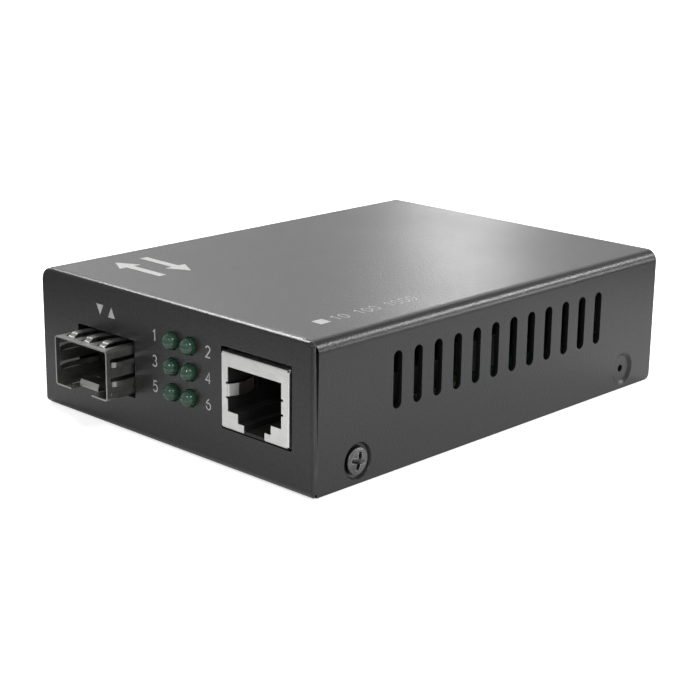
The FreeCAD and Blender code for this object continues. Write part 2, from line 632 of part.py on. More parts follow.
def led_holder():
    """Moulded block that carries the lamps behind the panel and stands on the board."""
    x0 = LED_X[0] - 2.4
    x1 = LED_X[1] + 2.4
    side = [(1.3, BOARD_TOP_Z), (1.3, LED_Z[0] + 2.4), (6.6, LED_Z[0] + 2.4), (6.6, 15.6),
            (9.4, BOARD_TOP_Z + 2.0), (9.4, BOARD_TOP_Z)]
    holder = prism(side, "YZ", x0, x1)
    cuts = []
    for x, z in led_places():
        cuts.append(rod(LED_R, vec(x, 0.0, z), vec(0, 1, 0), 4.0))
        cuts.append(rod(LED_FLANGE_R, vec(x, 4.0, z), vec(0, 1, 0), 1.0))
        cuts.append(block(x - 1.0, x + 1.0, 4.9, 9.5, z - 0.45, z + 0.45))
    cuts.append(block(x0 + 1.0, x1 - 1.0, 5.0, 9.5, BOARD_TOP_Z - 1.0, LED_Z[0] + 0.45))
    return holder.cut(cuts)


def led_leads():
    """Twelve square leads: back from each lamp, then down into the board."""
    solids = []
    for x, z in led_places():
        drop = led_drop_y(z)
        lead = strip([(5.0, z), (drop, z), (drop, 5.0)], 0.4, 0.2)
        for side in (-1, 1):
            middle = x + side * LED_LEAD_HALF
            solids.append(prism(lead, "YZ", middle - 0.2, middle + 0.2))
    return group(solids)


# ---------------------------------------------------------------- DC inlet

def inlet_axis_z():
    return BOARD_TOP_Z + INLET_HEIGHT - 4.6


def dc_jack_housing():
    """Moulded inlet with a round bore facing the rear."""
    y1 = DEPTH
    y0 = y1 - INLET_LENGTH
    top = BOARD_TOP_Z + INLET_HEIGHT
    side = [(y0, BOARD_TOP_Z), (y1, BOARD_TOP_Z), (y1, top), (y0 + 3.4, top), (y0, top - 3.0)]
    body = prism(side, "YZ", INLET_X - INLET_HALF_X, INLET_X + INLET_HALF_X)
    bore = spun([(0.0, 0.0), (0.0, INLET_BORE_R + 0.4), (0.4, INLET_BORE_R), (INLET_BORE_DEPTH, INLET_BORE_R),
                 (INLET_BORE_DEPTH, 0.0)], vec(INLET_X, y1, inlet_axis_z()), vec(0, -1, 0))
    seat = rod(INLET_PIN_R, vec(INLET_X, y1, inlet_axis_z()), vec(0, -1, 0), INLET_LENGTH + 1.0)
    leaf_slot = block(INLET_X - 1.2, INLET_X + 1.2, y1 - 11.4, y1 - 2.0, BOARD_TOP_Z + 1.6, inlet_axis_z())
    return body.cut([bore, seat, leaf_slot])


def dc_jack_pin():
    """Centre pin and its rear tail down to the board."""
    y1 = DEPTH
    length = INLET_LENGTH - 1.4
    pin = spun([(1.4, 0.0), (1.4, 0.55), (1.9, INLET_PIN_R), (length + 1.4, INLET_PIN_R),
                (length + 1.4, 0.0)], vec(INLET_X, y1, inlet_axis_z()), vec(0, -1, 0))
    back = y1 - INLET_LENGTH
    tail = prism(strip([(back - 0.2, inlet_axis_z() + 1.3), (back - 0.2, 5.0)], 0.4, 0.0), "YZ",
                 INLET_X - 1.1, INLET_X + 1.1)
    return fuse([pin, tail])


def dc_jack_leaf():
    """Sleeve contact: a leaf spring along the bottom of the bore, with its tail in the board."""
    y1 = DEPTH
    low = inlet_axis_z() - INLET_BORE_R
    path = [(y1 - 2.4, low - 0.7), (y1 - 4.4, low + 0.15), (y1 - 8.4, low - 0.6), (y1 - 10.9, low - 0.6),
            (y1 - 10.9, BOARD_TOP_Z + 1.8)]
    return prism(strip(path, 0.3, 0.2), "YZ", INLET_X - 0.9, INLET_X + 0.9)


# ---------------------------------------------------------------- components on the board

def gull_leads(chip, count, pitch, along):
    """Bent leads on two opposite edges of a chip; along is the edge's direction."""
    x, y, half_x, half_y, _ = chip
    solids = []
    waist = BOARD_TOP_Z + 0.9
    foot = BOARD_TOP_Z + LEAD_T / 2.0
    half_wide = pitch / 4.0
    for i in range(count):
        shift = (i - (count - 1) / 2.0) * pitch
        for side in (-1, 1):
            root = side * (half_x if along == "Y" else half_y)
            path = [(root, waist), (root + side * 0.5, waist), (root + side * 0.7, foot),
                    (root + side * 1.3, foot)]
            centre, middle, plane = (x, y, "XZ") if along == "Y" else (y, x, "YZ")
            lead = strip([(centre + u, v) for u, v in path], LEAD_T, 0.0)
            solids.append(prism(lead, plane, middle + shift - half_wide, middle + shift + half_wide))
    return solids


def chip_body(chip):
    """Moulded package with sloping flanks and a pin-one dimple."""
    x, y, half_x, half_y, height = chip
    z = BOARD_TOP_Z
    layers = []
    for grow, level in ((-0.12, z + 0.15), (0.0, z + 0.9), (-0.15, z + height)):
        ring = [vec(u, v, level) for u, v, _ in rectangle(x - half_x - grow, x + half_x + grow,
                                                          y - half_y - grow, y + half_y + grow)]
        layers.append(Part.makePolygon(ring + [ring[0]]))
    body = Part.makeLoft(layers, True, True)
    mark = rod(0.45, vec(x - half_x + 1.2, y - half_y + 1.2, z + height - 0.15), vec(0, 0, 1), 1.0)
    return body.cut(mark)


def converter_chip_leads():
    """Forty-eight leads, twelve to a side."""
    return group(gull_leads(CONVERTER_CHIP, 12, 0.95, "Y") + gull_leads(CONVERTER_CHIP, 12, 0.95, "X"))


def power_chip_leads():
    return group(gull_leads(POWER_CHIP, 8, 1.27, "Y"))


def line_transformer():
    """Moulded magnetics block between the port and the chip."""
    x, y, half_x, half_y, height = TRANSFORMER
    z = BOARD_TOP_Z
    body = prism(rectangle(x - half_x, x + half_x, z + 0.4, z + height, 0.5), "XZ", y - half_y, y + half_y)
    return body.cut(rod(0.6, vec(x - half_x + 1.6, y - half_y + 1.4, z + height - 0.2), vec(0, 0, 1), 1.0))


def line_transformer_leads():
    return group(gull_leads(TRANSFORMER, 8, 1.27, "Y"))


def power_inductor():
    """Shielded inductor: ferrite ring with chamfered corners round a drum core."""
    x, y, half, _, height = INDUCTOR
    cut = 2.0
    low = BOARD_TOP_Z + 0.3
    ring = [(x - half, y - half + cut), (x - half + cut, y - half), (x + half - cut, y - half),
            (x + half, y - half + cut), (x + half, y + half - cut), (x + half - cut, y + half),
            (x - half + cut, y + half), (x - half, y + half - cut)]
    well = rod(half - 1.1, vec(x, y, low + 0.5), vec(0, 0, 1), height)
    shell = prism(ring, "XY", low, BOARD_TOP_Z + height).cut(well)
    drum = rod(half - 1.4, vec(x, y, low + 0.5), vec(0, 0, 1), height - 1.0)
    return shell.fuse(drum).removeSplitter()


def power_inductor_terminals():
    x, y, half, _, _ = INDUCTOR
    z = BOARD_TOP_Z
    fronts = (y - half - 0.2, y + half - 2.2)
    return group([block(x - 1.6, x + 1.6, y0, y0 + 2.4, z, z + 0.3) for y0 in fronts])


def electrolytic(x, y, radius, height):
    """Can with its crimped groove, scored top and bung."""
    z = BOARD_TOP_Z
    neck = radius - CAN_NECK
    can = spun([(0.0, 0.0), (0.0, radius * 0.9), (0.5, radius), (1.6, radius), (2.1, neck),
                (2.6, radius), (height - 0.4, radius), (height, neck), (height, 0.0)],
               vec(x, y, z), vec(0, 0, 1))
    reach = radius * 0.6
    low = z + height - 0.15
    score = fuse([block(x - reach, x + reach, y - 0.12, y + 0.12, low, low + 1.15),
                  block(x - 0.12, x + 0.12, y - reach, y + reach, low, low + 1.15)])
    return can.cut(score)


def bulk_capacitors():
    return group([electrolytic(*can) for can in CAPACITORS])


def clock_crystal():
    """Low metal can with a flange at its foot."""
    z = BOARD_TOP_Z
    can = prism(rectangle(-3.2, 7.2, 20.2, 24.4, 2.05), "XY", z + 0.4, z + 3.6)
    flange = prism(rectangle(-3.6, 7.6, 19.8, 24.8, 2.45), "XY", z, z + 0.4)
    return fuse([can, flange])


def regulator_tab():
    """Solder tab and the two outer leads of the three-lead package."""
    x, y, _, half_y, _ = REGULATOR
    z = BOARD_TOP_Z
    parts = [block(x - 2.6, x + 2.6, y + half_y, y + half_y + 2.4, z, z + 0.5)]
    root = y - half_y
    for side in (-1, 1):
        path = [(root, z + 0.9), (root - 0.8, z + 0.9), (root - 1.2, z + 0.15), (root - 2.2, z + 0.15)]
        middle = x + side * 2.2
        parts.append(prism(strip(path, 0.3, 0.0), "YZ", middle - 0.4, middle + 0.4))
    return group(parts)


def chip_row(x, y, step, count, half_x, half_y, height):
    """Row of surface-mount blocks standing on the board."""
    solids = []
    for i in range(count):
        solids.append(block(x + i * step - half_x, x + i * step + half_x, y - half_y, y + half_y,
                            BOARD_TOP_Z, BOARD_TOP_Z + height))
    return solids


def chip_capacitors():
    return group(chip_row(-6.0, 50.2, 2.4, 8, 0.6, 1.0, 0.9) + chip_row(-29.0, 63.0, 2.4, 5, 0.8, 1.25, 1.2)
                 + chip_row(14.6, 44.6, 2.4, 6, 0.6, 1.0, 0.9))


def chip_resistors():
    return group(chip_row(-6.0, 28.6, 2.0, 9, 0.4, 0.8, 0.5) + chip_row(-29.0, 46.4, 2.0, 9, 0.4, 0.8, 0.5)
                 + chip_row(-6.0, 60.5, 2.0, 6, 0.4, 0.8, 0.5))


def nodes():
    """Every piece of the converter by name."""
    pieces = {
        "base_tray": base_tray(),
        "top_cover": top_cover(),
        "cover_screws": cover_screws(),
        "pcb_standoffs": pcb_standoffs(),
        "pcb_screws": pcb_screws(),
        "main_pcb": main_pcb(),
        "sfp_cage": sfp_cage(),
        "sfp_connector": sfp_connector(),
        "sfp_contacts": sfp_contacts(),
        "rj45_shield": rj45_shield(),
        "rj45_housing": rj45_housing(),
        "rj45_contacts": rj45_contacts(),
        "led_holder": led_holder(),
        "led_leads": led_leads(),
        "dc_jack_housing": dc_jack_housing(),
        "dc_jack_pin": dc_jack_pin(),
        "dc_jack_leaf": dc_jack_leaf(),
        "line_transformer": line_transformer(),
        "line_transformer_leads": line_transformer_leads(),
        "converter_chip": chip_body(CONVERTER_CHIP),
        "converter_chip_leads": converter_chip_leads(),
        "power_chip": chip_body(POWER_CHIP),
        "power_chip_leads": power_chip_leads(),
        "power_inductor": power_inductor(),
        "power_inductor_terminals": power_inductor_terminals(),
        "bulk_capacitors": bulk_capacitors(),
        "clock_crystal": clock_crystal(),
        "regulator": chip_body(REGULATOR),
        "regulator_tab": regulator_tab(),
        "chip_capacitors": chip_capacitors(),
        "chip_resistors": chip_resistors(),
    }
    for number, (x, z) in enumerate(led_places(), start=1):
        pieces["led_%d" % number] = led(x, z)
    return pieces


os.makedirs("parts", exist_ok=True)
for name, shape in nodes().items():
    shape.translate(vec(0.0, FRONT_Y, 0.0))
    shape.exportStep("parts/%s.step" % name)
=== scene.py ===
"""Looks of a small desktop fibre media converter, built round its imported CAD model."""

import logging
import math
from dataclasses import dataclass, field
from enum import Enum
from typing import Iterable, Sequence

import bmesh
import bpy
from mathutils import Matrix, Vector

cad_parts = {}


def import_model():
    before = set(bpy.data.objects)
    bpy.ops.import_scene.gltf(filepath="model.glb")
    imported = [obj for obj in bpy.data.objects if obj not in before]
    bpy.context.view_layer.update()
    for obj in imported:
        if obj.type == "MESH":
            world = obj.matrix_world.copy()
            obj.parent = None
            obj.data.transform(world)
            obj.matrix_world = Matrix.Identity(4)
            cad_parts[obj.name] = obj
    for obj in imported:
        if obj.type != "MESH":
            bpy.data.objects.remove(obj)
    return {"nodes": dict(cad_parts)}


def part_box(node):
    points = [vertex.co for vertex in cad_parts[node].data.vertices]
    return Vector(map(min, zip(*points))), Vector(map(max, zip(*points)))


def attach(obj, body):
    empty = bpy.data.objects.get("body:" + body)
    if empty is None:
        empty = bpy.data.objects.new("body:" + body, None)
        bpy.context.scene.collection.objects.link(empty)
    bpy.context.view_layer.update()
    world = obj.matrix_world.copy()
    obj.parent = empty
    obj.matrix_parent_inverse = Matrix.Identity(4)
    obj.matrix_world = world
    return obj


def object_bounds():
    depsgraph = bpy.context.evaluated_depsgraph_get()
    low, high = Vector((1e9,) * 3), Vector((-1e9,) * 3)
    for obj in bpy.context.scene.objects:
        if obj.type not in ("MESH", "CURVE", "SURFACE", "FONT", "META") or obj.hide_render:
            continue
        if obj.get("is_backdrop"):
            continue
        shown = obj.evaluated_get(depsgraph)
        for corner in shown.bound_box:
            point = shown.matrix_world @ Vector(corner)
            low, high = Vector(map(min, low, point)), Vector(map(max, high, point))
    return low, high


LOG = logging.getLogger("media_converter")
MM = 0.001
BODY = "root"
LAMP_COUNT = 6
RIGHTWARD, REARWARD, UPWARD = Vector((1, 0, 0)), Vector((0, 1, 0)), Vector((0, 0, 1))
WHITE = (1.0, 1.0, 1.0, 1.0)
Colour = tuple[float, float, float]
Point2 = tuple[float, float]
Point3 = tuple[float, float, float]
Stroke = list[Point2]
Face = tuple[int, ...]
Nodes = dict[str, bpy.types.Object]


# ------------------------ shader helpers

class Grain(Enum):
    """Direction in which a metal's drawing lines run, in the row frame."""

    ALONG_X = (0.06, 1.0, 1.0)
    ALONG_Y = (1.0, 0.06, 1.0)
    ALONG_Z = (1.0, 1.0, 0.06)


class Wiring:
    """Thin wrapper that adds and links nodes in one node tree."""

    def __init__(self, tree: bpy.types.NodeTree) -> None:
        """Keep the tree that the nodes go into."""
        self.tree = tree

    def put(self, value: object, socket: bpy.types.NodeSocket) -> None:
        """Link a socket to a node's input, or make anything else the input's value.

        Args:
            value: The socket or value.
            socket: The node's input.
        """
        if isinstance(value, bpy.types.NodeSocket):
            self.tree.links.new(value, socket)
        else:
            socket.default_value = value

    def feed(self, node: bpy.types.Node, **inputs: object) -> bpy.types.Node:
        """Set or link a node's inputs.

        Args:
            node: The node.
            **inputs: Sockets or values, under the inputs' names with spaces written as underscores.

        Returns:
            The same node.
        """
        for name, value in inputs.items():
            self.put(value, node.inputs[name.replace("_", " ")])
        return node

    def add(self, kind: str, **inputs: object) -> bpy.types.Node:
        """Add a node and set or link its inputs.

        Args:
            kind: Blender's node type, such as "ShaderNodeTexNoise".
            **inputs: As in feed.

        Returns:
            The new node.
        """
        return self.feed(self.tree.nodes.new(kind), **inputs)

    def join(self, kind: str, first: bpy.types.Node, second: bpy.types.Node,
             **inputs: object) -> bpy.types.Node:
        """Add a node whose last two inputs are shaders.

        Args:
            kind: Blender's node type.
            first: Node of the first shader.
            second: Node of the second shader.
            **inputs: As in feed.

        Returns:
            The new node.
        """
        node = self.add(kind, **inputs)
        self.put(first.outputs[0], node.inputs[-2])
        self.put(second.outputs[0], node.inputs[-1])
        return node

    def group(self, group: bpy.types.NodeTree, **values: float) -> bpy.types.Node:
        """Place a shared group.

        Args:
            group: The shared group.
            **values: The group's input values here.

        Returns:
            The group node.
        """
        node = self.add("ShaderNodeGroup")
        node.node_tree = group
        return self.feed(node, **values)

    def maths(self, operation: str, *values: object) -> bpy.types.NodeSocket:
        """Add a Math node.

        Args:
            operation: The node's operation, such as "MULTIPLY".
            *values: Its inputs in order, as numbers or sockets.

        Returns:
            The node's result.
        """
        node = self.add("ShaderNodeMath")
        node.operation = operation
        for value, socket in zip(values, node.inputs):
            self.put(value, socket)
        return node.outputs[0]

    def vectors(self, operation: str, first: bpy.types.NodeSocket,
                second: bpy.types.NodeSocket) -> bpy.types.Node:
        """Add a Vector Math node.

        Args:
            operation: The node's operation, such as "DOT_PRODUCT".
            first: First vector.
            second: Second vector.

        Returns:
            The node.
        """
        node = self.add("ShaderNodeVectorMath")
        node.operation = operation
        self.put(first, node.inputs[0])
        self.put(second, node.inputs[1])
        return node

    def weigh(self, first: bpy.types.NodeSocket, second: bpy.types.NodeSocket,
              share: float) -> bpy.types.NodeSocket:
        """Add up two values by weight.

        Args:
            first: First value.
            second: Second value.
            share: Weight of the first. The second takes the rest.

        Returns:
            The sum.
        """
        return self.maths("ADD", self.maths("MULTIPLY", first, share),
                          self.maths("MULTIPLY", second, 1.0 - share))

    def remap(self, value: bpy.types.NodeSocket, low: float, high: float,
              to_low: float = 0.0, to_high: float = 1.0) -> bpy.types.NodeSocket:
        """Add a clamped Map Range node.

        Args:
            value: What is mapped.
            low: Input that gives to_low.
            high: Input that gives to_high.
            to_low: Result at low.
            to_high: Result at high.

        Returns:
            The mapped value.
        """
        node = self.add("ShaderNodeMapRange", Value=value, From_Min=low, From_Max=high,
                        To_Min=to_low, To_Max=to_high)
        return node.outputs["Result"]

    def blend(self, factor: bpy.types.NodeSocket, first: Colour | bpy.types.NodeSocket,
              second: Colour | bpy.types.NodeSocket) -> bpy.types.NodeSocket:
        """Add a colour mix.

        Args:
            factor: Share of the second colour.
            first: Colour at factor 0.
            second: Colour at factor 1.

        Returns:
            The mixed colour.
        """
        node = self.add("ShaderNodeMix")
        node.data_type = "RGBA"
        for value, index in ((factor, 0), (first, 6), (second, 7)):
            self.put((*value, 1.0) if isinstance(value, tuple) else value, node.inputs[index])
        return node.outputs[2]

    def place(self) -> bpy.types.NodeSocket:
        """Object coordinates."""
        return self.add("ShaderNodeTexCoord").outputs["Object"]

    def noise(self, scale: float | bpy.types.NodeSocket, detail: float, roughness: float = 0.5,
              place: bpy.types.NodeSocket | None = None) -> bpy.types.NodeSocket:
        """Add a noise texture.

        Args:
            scale: Waves in a metre.
            detail: Number of finer layers.
            roughness: Strength of the finer layers.
            place: Coordinates, or none for object coordinates.

        Returns:
            The noise, from 0 to 1.
        """
        node = self.add("ShaderNodeTexNoise", Vector=self.place() if place is None else place, Scale=scale,
                        Detail=detail, Roughness=roughness)
        return node.outputs["Fac"]

    def gloss(self, mask: bpy.types.NodeSocket, roughness: float, spread: Point2) -> bpy.types.NodeSocket:
        """Make a roughness that follows a mask.

        Args:
            mask: The mask, from 0 to 1.
            roughness: The finish's roughness.
            spread: What is added to it where the mask is 0 and where it is 1.

        Returns:
            The roughness.
        """
        return self.remap(mask, 0.0, 1.0, roughness + spread[0], roughness + spread[1])

    def bump(self, height: bpy.types.NodeSocket, depth: float) -> bpy.types.NodeSocket:
        """Turn a height into a normal.

        Args:
            height: The height, from 0 to 1.
            depth: What a height of 1 stands for, in metres.

        Returns:
            The normal.
        """
        return self.add("ShaderNodeBump", Height=height, Strength=1.0, Distance=depth).outputs[0]


class EffectGroups:
    """Node groups that several finishes share. Each is built once."""

    slow_scale: float = 0.18         # scale of the grain's slow waviness, as a share of the fine one's
    fine_weight: float = 0.95
    line_scale: float = 9000.0
    line_weight: float = 0.6
    cloud_scale: float = 420.0
    patch_scale: float = 1400.0

    def __init__(self) -> None:
        """Build every group."""
        self.grain = self._grain()
        self.drawn = self._drawn()
        self.wear = self._wear()
        self.smudge = self._smudge()

    @staticmethod
    def _start(name: str, inputs: dict[str, float],
               outputs: Iterable[str]) -> tuple[Wiring, bpy.types.Node, bpy.types.Node]:
        """Make a group with float sockets.

        Args:
            name: The group's name.
            inputs: Input names and default values.
            outputs: Output names.

        Returns:
            The group's wiring, its input node and its output node.
        """
        tree = bpy.data.node_groups.new(name, "ShaderNodeTree")
        for label, value in inputs.items():
            socket = tree.interface.new_socket(label, in_out="INPUT", socket_type="NodeSocketFloat")
            socket.default_value = value
        for label in outputs:
            tree.interface.new_socket(label, in_out="OUTPUT", socket_type="NodeSocketFloat")
        wiring = Wiring(tree)
        return wiring, wiring.add("NodeGroupInput"), wiring.add("NodeGroupOutput")

    def _grain(self) -> bpy.types.NodeTree:
        """Sprayed or moulded grain: fine bumps with a slow waviness.

        Returns:
            A group with Size (metres) in, and Shade and Height out.
        """
        wiring, given, result = self._start("sprayed_grain", {"Size": 0.0003}, ("Shade", "Height"))
        scale = wiring.maths("DIVIDE", 1.0, given.outputs["Size"])
        fine = wiring.noise(scale, 2.0, 0.55)
        slow = wiring.noise(wiring.maths("MULTIPLY", scale, self.slow_scale), 2.0)
        wiring.feed(result, Shade=wiring.remap(fine, 0.3, 0.7),
                    Height=wiring.weigh(fine, slow, self.fine_weight))
        return wiring.tree

    def _drawn(self) -> bpy.types.NodeTree:
        """Drawing lines of rolled or brushed sheet.

        Returns:
            A group with stretch factors in, and Shade and Height out.
        """
        wiring, given, result = self._start("drawn_lines", {"X": 1.0, "Y": 1.0, "Z": 1.0},
                                            ("Shade", "Height"))
        stretch = wiring.add("ShaderNodeCombineXYZ", **{axis: given.outputs[axis] for axis in "XYZ"})
        stretched = wiring.vectors("MULTIPLY", wiring.place(), stretch.outputs[0]).outputs[0]
        lines = wiring.noise(self.line_scale, 3.0, 0.6, stretched)
        shade = wiring.weigh(lines, wiring.noise(self.cloud_scale, 2.0), self.line_weight)
        wiring.feed(result, Shade=wiring.remap(shade, 0.35, 0.65), Height=lines)
        return wiring.tree

    def _wear(self) -> bpy.types.NodeTree:
        """Mask of outer edges that rub first.

        Returns:
            A group with Width (metres) and Amount in, and Mask out.
        """
        wiring, given, result = self._start("edge_wear", {"Width": 0.0002, "Amount": 1.0}, ("Mask",))
        soft = wiring.add("ShaderNodeBevel", Radius=given.outputs["Width"]).outputs[0]
        sharp = wiring.add("ShaderNodeNewGeometry").outputs["Normal"]
        bend = wiring.remap(wiring.vectors("DOT_PRODUCT", soft, sharp).outputs["Value"], 0.99, 0.75)
        broken = wiring.remap(wiring.noise(self.patch_scale, 3.0), 0.35, 0.6)
        rubbed = wiring.maths("MULTIPLY", bend, broken)
        wiring.feed(result, Mask=wiring.maths("MULTIPLY", rubbed, given.outputs["Amount"]))
        return wiring.tree

    def _smudge(self) -> bpy.types.NodeTree:
        """Slow, faint change of gloss from handling.

        Returns:
            A group with Size (metres) in, and Mask out.
        """
        wiring, given, result = self._start("handling_smudge", {"Size": 0.02}, ("Mask",))
        cloud = wiring.noise(wiring.maths("DIVIDE", 1.0, given.outputs["Size"]), 3.0)
        wiring.feed(result, Mask=wiring.remap(cloud, 0.15, 0.85))
        return wiring.tree


def emptied(owner: bpy.types.Material | bpy.types.World) -> Wiring:
    """Empty the node tree of a material or world.

    Args:
        owner: The material or world.

    Returns:
        The wiring of its empty tree.
    """
    owner.use_nodes = True
    owner.node_tree.nodes.clear()
    return Wiring(owner.node_tree)


def new_material(name: str) -> tuple[bpy.types.Material, Wiring, bpy.types.Node]:
    """Make a material that holds only its Principled shader.

    Args:
        name: The finish's name.

    Returns:
        The material, its wiring and its Principled node.
    """
    material = bpy.data.materials.new(name)
    wiring = emptied(material)
    shader = wiring.add("ShaderNodeBsdfPrincipled")
    wiring.add("ShaderNodeOutputMaterial", Surface=shader.outputs[0])
    return material, wiring, shader


# ------------------------ finishes

@dataclass(frozen=True)
class PowderCoat:
    """Fine-texture stoved coat on steel sheet."""

    name: str
    dark: Colour
    light: Colour
    roughness: float
    grain_size: float
    grain_depth: float
    smudge_size: float = 25 * MM
    gloss_spread: Point2 = (-0.03, 0.04)

    def build(self, groups: EffectGroups) -> bpy.types.Material:
        """Make the material.

        Args:
            groups: The shared effects.

        Returns:
            The material.
        """
        material, wiring, shader = new_material(self.name)
        grain = wiring.group(groups.grain, Size=self.grain_size)
        smudge = wiring.group(groups.smudge, Size=self.smudge_size)
        wiring.feed(shader,
                    Base_Color=wiring.blend(grain.outputs["Shade"], self.dark, self.light),
                    Roughness=wiring.gloss(smudge.outputs["Mask"], self.roughness, self.gloss_spread),
                    Normal=wiring.bump(grain.outputs["Height"], self.grain_depth))
        return material


@dataclass(frozen=True)
class PlatedSheet:
    """Bare plated metal with drawing lines."""

    name: str
    dark: Colour
    light: Colour
    roughness: float
    grain: Grain
    wear: float = 0.0
    wear_width: float = 0.25 * MM
    bare_metal: Colour = (0.62, 0.61, 0.60)
    line_depth: float = 0.004 * MM
    gloss_spread: Point2 = (-0.04, 0.06)

    def build(self, groups: EffectGroups) -> bpy.types.Material:
        """Make the material.

        Args:
            groups: The shared effects.

        Returns:
            The material.
        """
        material, wiring, shader = new_material(self.name)
        lines = wiring.group(groups.drawn, **dict(zip("XYZ", self.grain.value)))
        colour = wiring.blend(lines.outputs["Shade"], self.dark, self.light)
        if self.wear > 0.0:
            rub = wiring.group(groups.wear, Width=self.wear_width, Amount=self.wear)
            colour = wiring.blend(rub.outputs["Mask"], colour, self.bare_metal)
        wiring.feed(shader, Base_Color=colour, Metallic=1.0,
                    Roughness=wiring.gloss(lines.outputs["Shade"], self.roughness, self.gloss_spread),
                    Normal=wiring.bump(lines.outputs["Height"], self.line_depth))
        return material


@dataclass(frozen=True)
class Moulding:
    """Moulded plastic or fired ceramic with a fine spark-eroded grain."""

    name: str
    dark: Colour
    light: Colour
    roughness: float
    grain_size: float = 0.25 * MM
    grain_depth: float = 0.006 * MM
    gloss_spread: Point2 = (0.0, 0.06)

    def build(self, groups: EffectGroups) -> bpy.types.Material:
        """Make the material.

        Args:
            groups: The shared effects.

        Returns:
            The material.
        """
        material, wiring, shader = new_material(self.name)
        grain = wiring.group(groups.grain, Size=self.grain_size)
        shade = grain.outputs["Shade"]
        wiring.feed(shader, Base_Color=wiring.blend(shade, self.dark, self.light),
                    Roughness=wiring.gloss(shade, self.roughness, self.gloss_spread),
                    Normal=wiring.bump(grain.outputs["Height"], self.grain_depth))
        return material


@dataclass(frozen=True)
class ScreenPrint(Moulding):
    """Pale ink, slightly uneven where it lies on the coat's grain."""

    grain_size: float = 0.3 * MM
    gloss_spread: Point2 = (0.0, -0.12)


@dataclass(frozen=True)
class TintedEpoxy:
    """Dark green tinted epoxy of an unlit lamp."""

    name: str
    deep: Colour
    pale: Colour
    transmission: float
    roughness: float
    cloud_size: float = 1.2 * MM
    gloss_spread: Point2 = (0.0, 0.03)
    ior: float = 1.55

    def build(self, groups: EffectGroups) -> bpy.types.Material:
        """Make the material.

        Args:
            groups: The shared effects.

        Returns:
            The material.
        """
        material, wiring, shader = new_material(self.name)
        cloud = wiring.group(groups.smudge, Size=self.cloud_size).outputs["Mask"]
        wiring.feed(shader, Base_Color=wiring.blend(cloud, self.deep, self.pale),
                    Roughness=wiring.gloss(cloud, self.roughness, self.gloss_spread),
                    IOR=self.ior, Transmission_Weight=self.transmission)
        return material


@dataclass(frozen=True)
class BoardMask:
    """Green solder mask with copper tracks showing under it."""

    name: str
    mask: Colour
    track: Colour
    track_scale: float = 260.0
    track_height: float = 0.02 * MM
    cloud_size: float = 8 * MM
    roughness: float = 0.35
    gloss_spread: Point2 = (0.0, -0.07)

    def build(self, groups: EffectGroups) -> bpy.types.Material:
        """Make the material.

        Args:
            groups: The shared effects.

        Returns:
            The material.
        """
        material, wiring, shader = new_material(self.name)
        tracks = wiring.add("ShaderNodeTexBrick", Vector=wiring.place(), Scale=self.track_scale,
                            Mortar_Size=0.03)
        tracks.offset = 0.35
        cloud = wiring.group(groups.smudge, Size=self.cloud_size)
        share = wiring.maths("MULTIPLY", tracks.outputs["Fac"], cloud.outputs["Mask"])
        wiring.feed(shader, Base_Color=wiring.blend(share, self.mask, self.track),
                    Roughness=wiring.gloss(share, self.roughness, self.gloss_spread),
                    Normal=wiring.bump(tracks.outputs["Fac"], self.track_height))
        return material


# ------------------------ meshes

def placed(name: str, data: bpy.types.ID) -> bpy.types.Object:
    """Put a new object into the scene.

    Args:
        name: Its name.
        data: Its mesh, lamp or camera.

    Returns:
        The object.
    """
    item = bpy.data.objects.new(name, data)
    bpy.context.scene.collection.objects.link(item)
    return item


def finish_piece(name: str, meshes: Sequence[bpy.types.Mesh], material: bpy.types.Material) -> None:
    """Join meshes into one piece of the object.

    Args:
        name: The piece's name.
        meshes: Its meshes, in the row frame and in metres.
        material: Its finish.
    """
    mesh = join_meshes(name, meshes)
    mesh.materials.append(material)
    piece = placed(name, mesh)
    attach(piece, BODY)
    LOG.info("built %s from %d meshes", name, len(meshes))


def dress(nodes: Nodes, material: bpy.types.Material, *names: str) -> None:
    """Give CAD nodes their finish.

    Args:
        nodes: The frame's nodes.
        material: The finish.
        *names: Names of the nodes that take it.
    """
    for name in names:
        mesh = nodes[name].data
        mesh.materials.clear()
        mesh.materials.append(material)
        LOG.info("dressed %s in %s", name, material.name)


def arc(centre: Point2, radii: Point2, start: float, end: float, steps: int = 12) -> Stroke:
    """Points along an elliptical arc.

    Args:
        centre: Middle of the ellipse.
        radii: Its half-axes.
        start: First angle in degrees, anticlockwise from the right.
        end: Last angle in degrees.
        steps: Number of spans.

    Returns:
        The points in order.
    """
    angles = [math.radians(start + (end - start) * i / steps) for i in range(steps + 1)]
    return [(centre[0] + radii[0] * math.cos(a), centre[1] + radii[1] * math.sin(a)) for a in angles]


DIGITS: dict[str, list[Stroke]] = {
    "0": [arc((0.30, 0.50), (0.27, 0.50), 90, 450, 24)],
    "1": [[(0.12, 0.80), (0.34, 1.0), (0.34, 0.0)]],
    "2": [arc((0.28, 0.72), (0.27, 0.28), 165, -30) + [(0.02, 0.0), (0.57, 0.0)]],
    "3": [arc((0.26, 0.76), (0.25, 0.24), 155, -90) + arc((0.26, 0.26), (0.29, 0.26), 90, -155)],
    "4": [[(0.44, 0.0), (0.44, 1.0), (0.0, 0.30), (0.60, 0.30)]],
    "5": [[(0.53, 1.0), (0.12, 1.0), (0.06, 0.55)] + arc((0.27, 0.33), (0.29, 0.33), 118, -150)],
    "6": [arc((0.60, 0.34), (0.58, 0.66), 112, 180) + arc((0.30, 0.30), (0.28, 0.30), 180, 539, 20)],
}


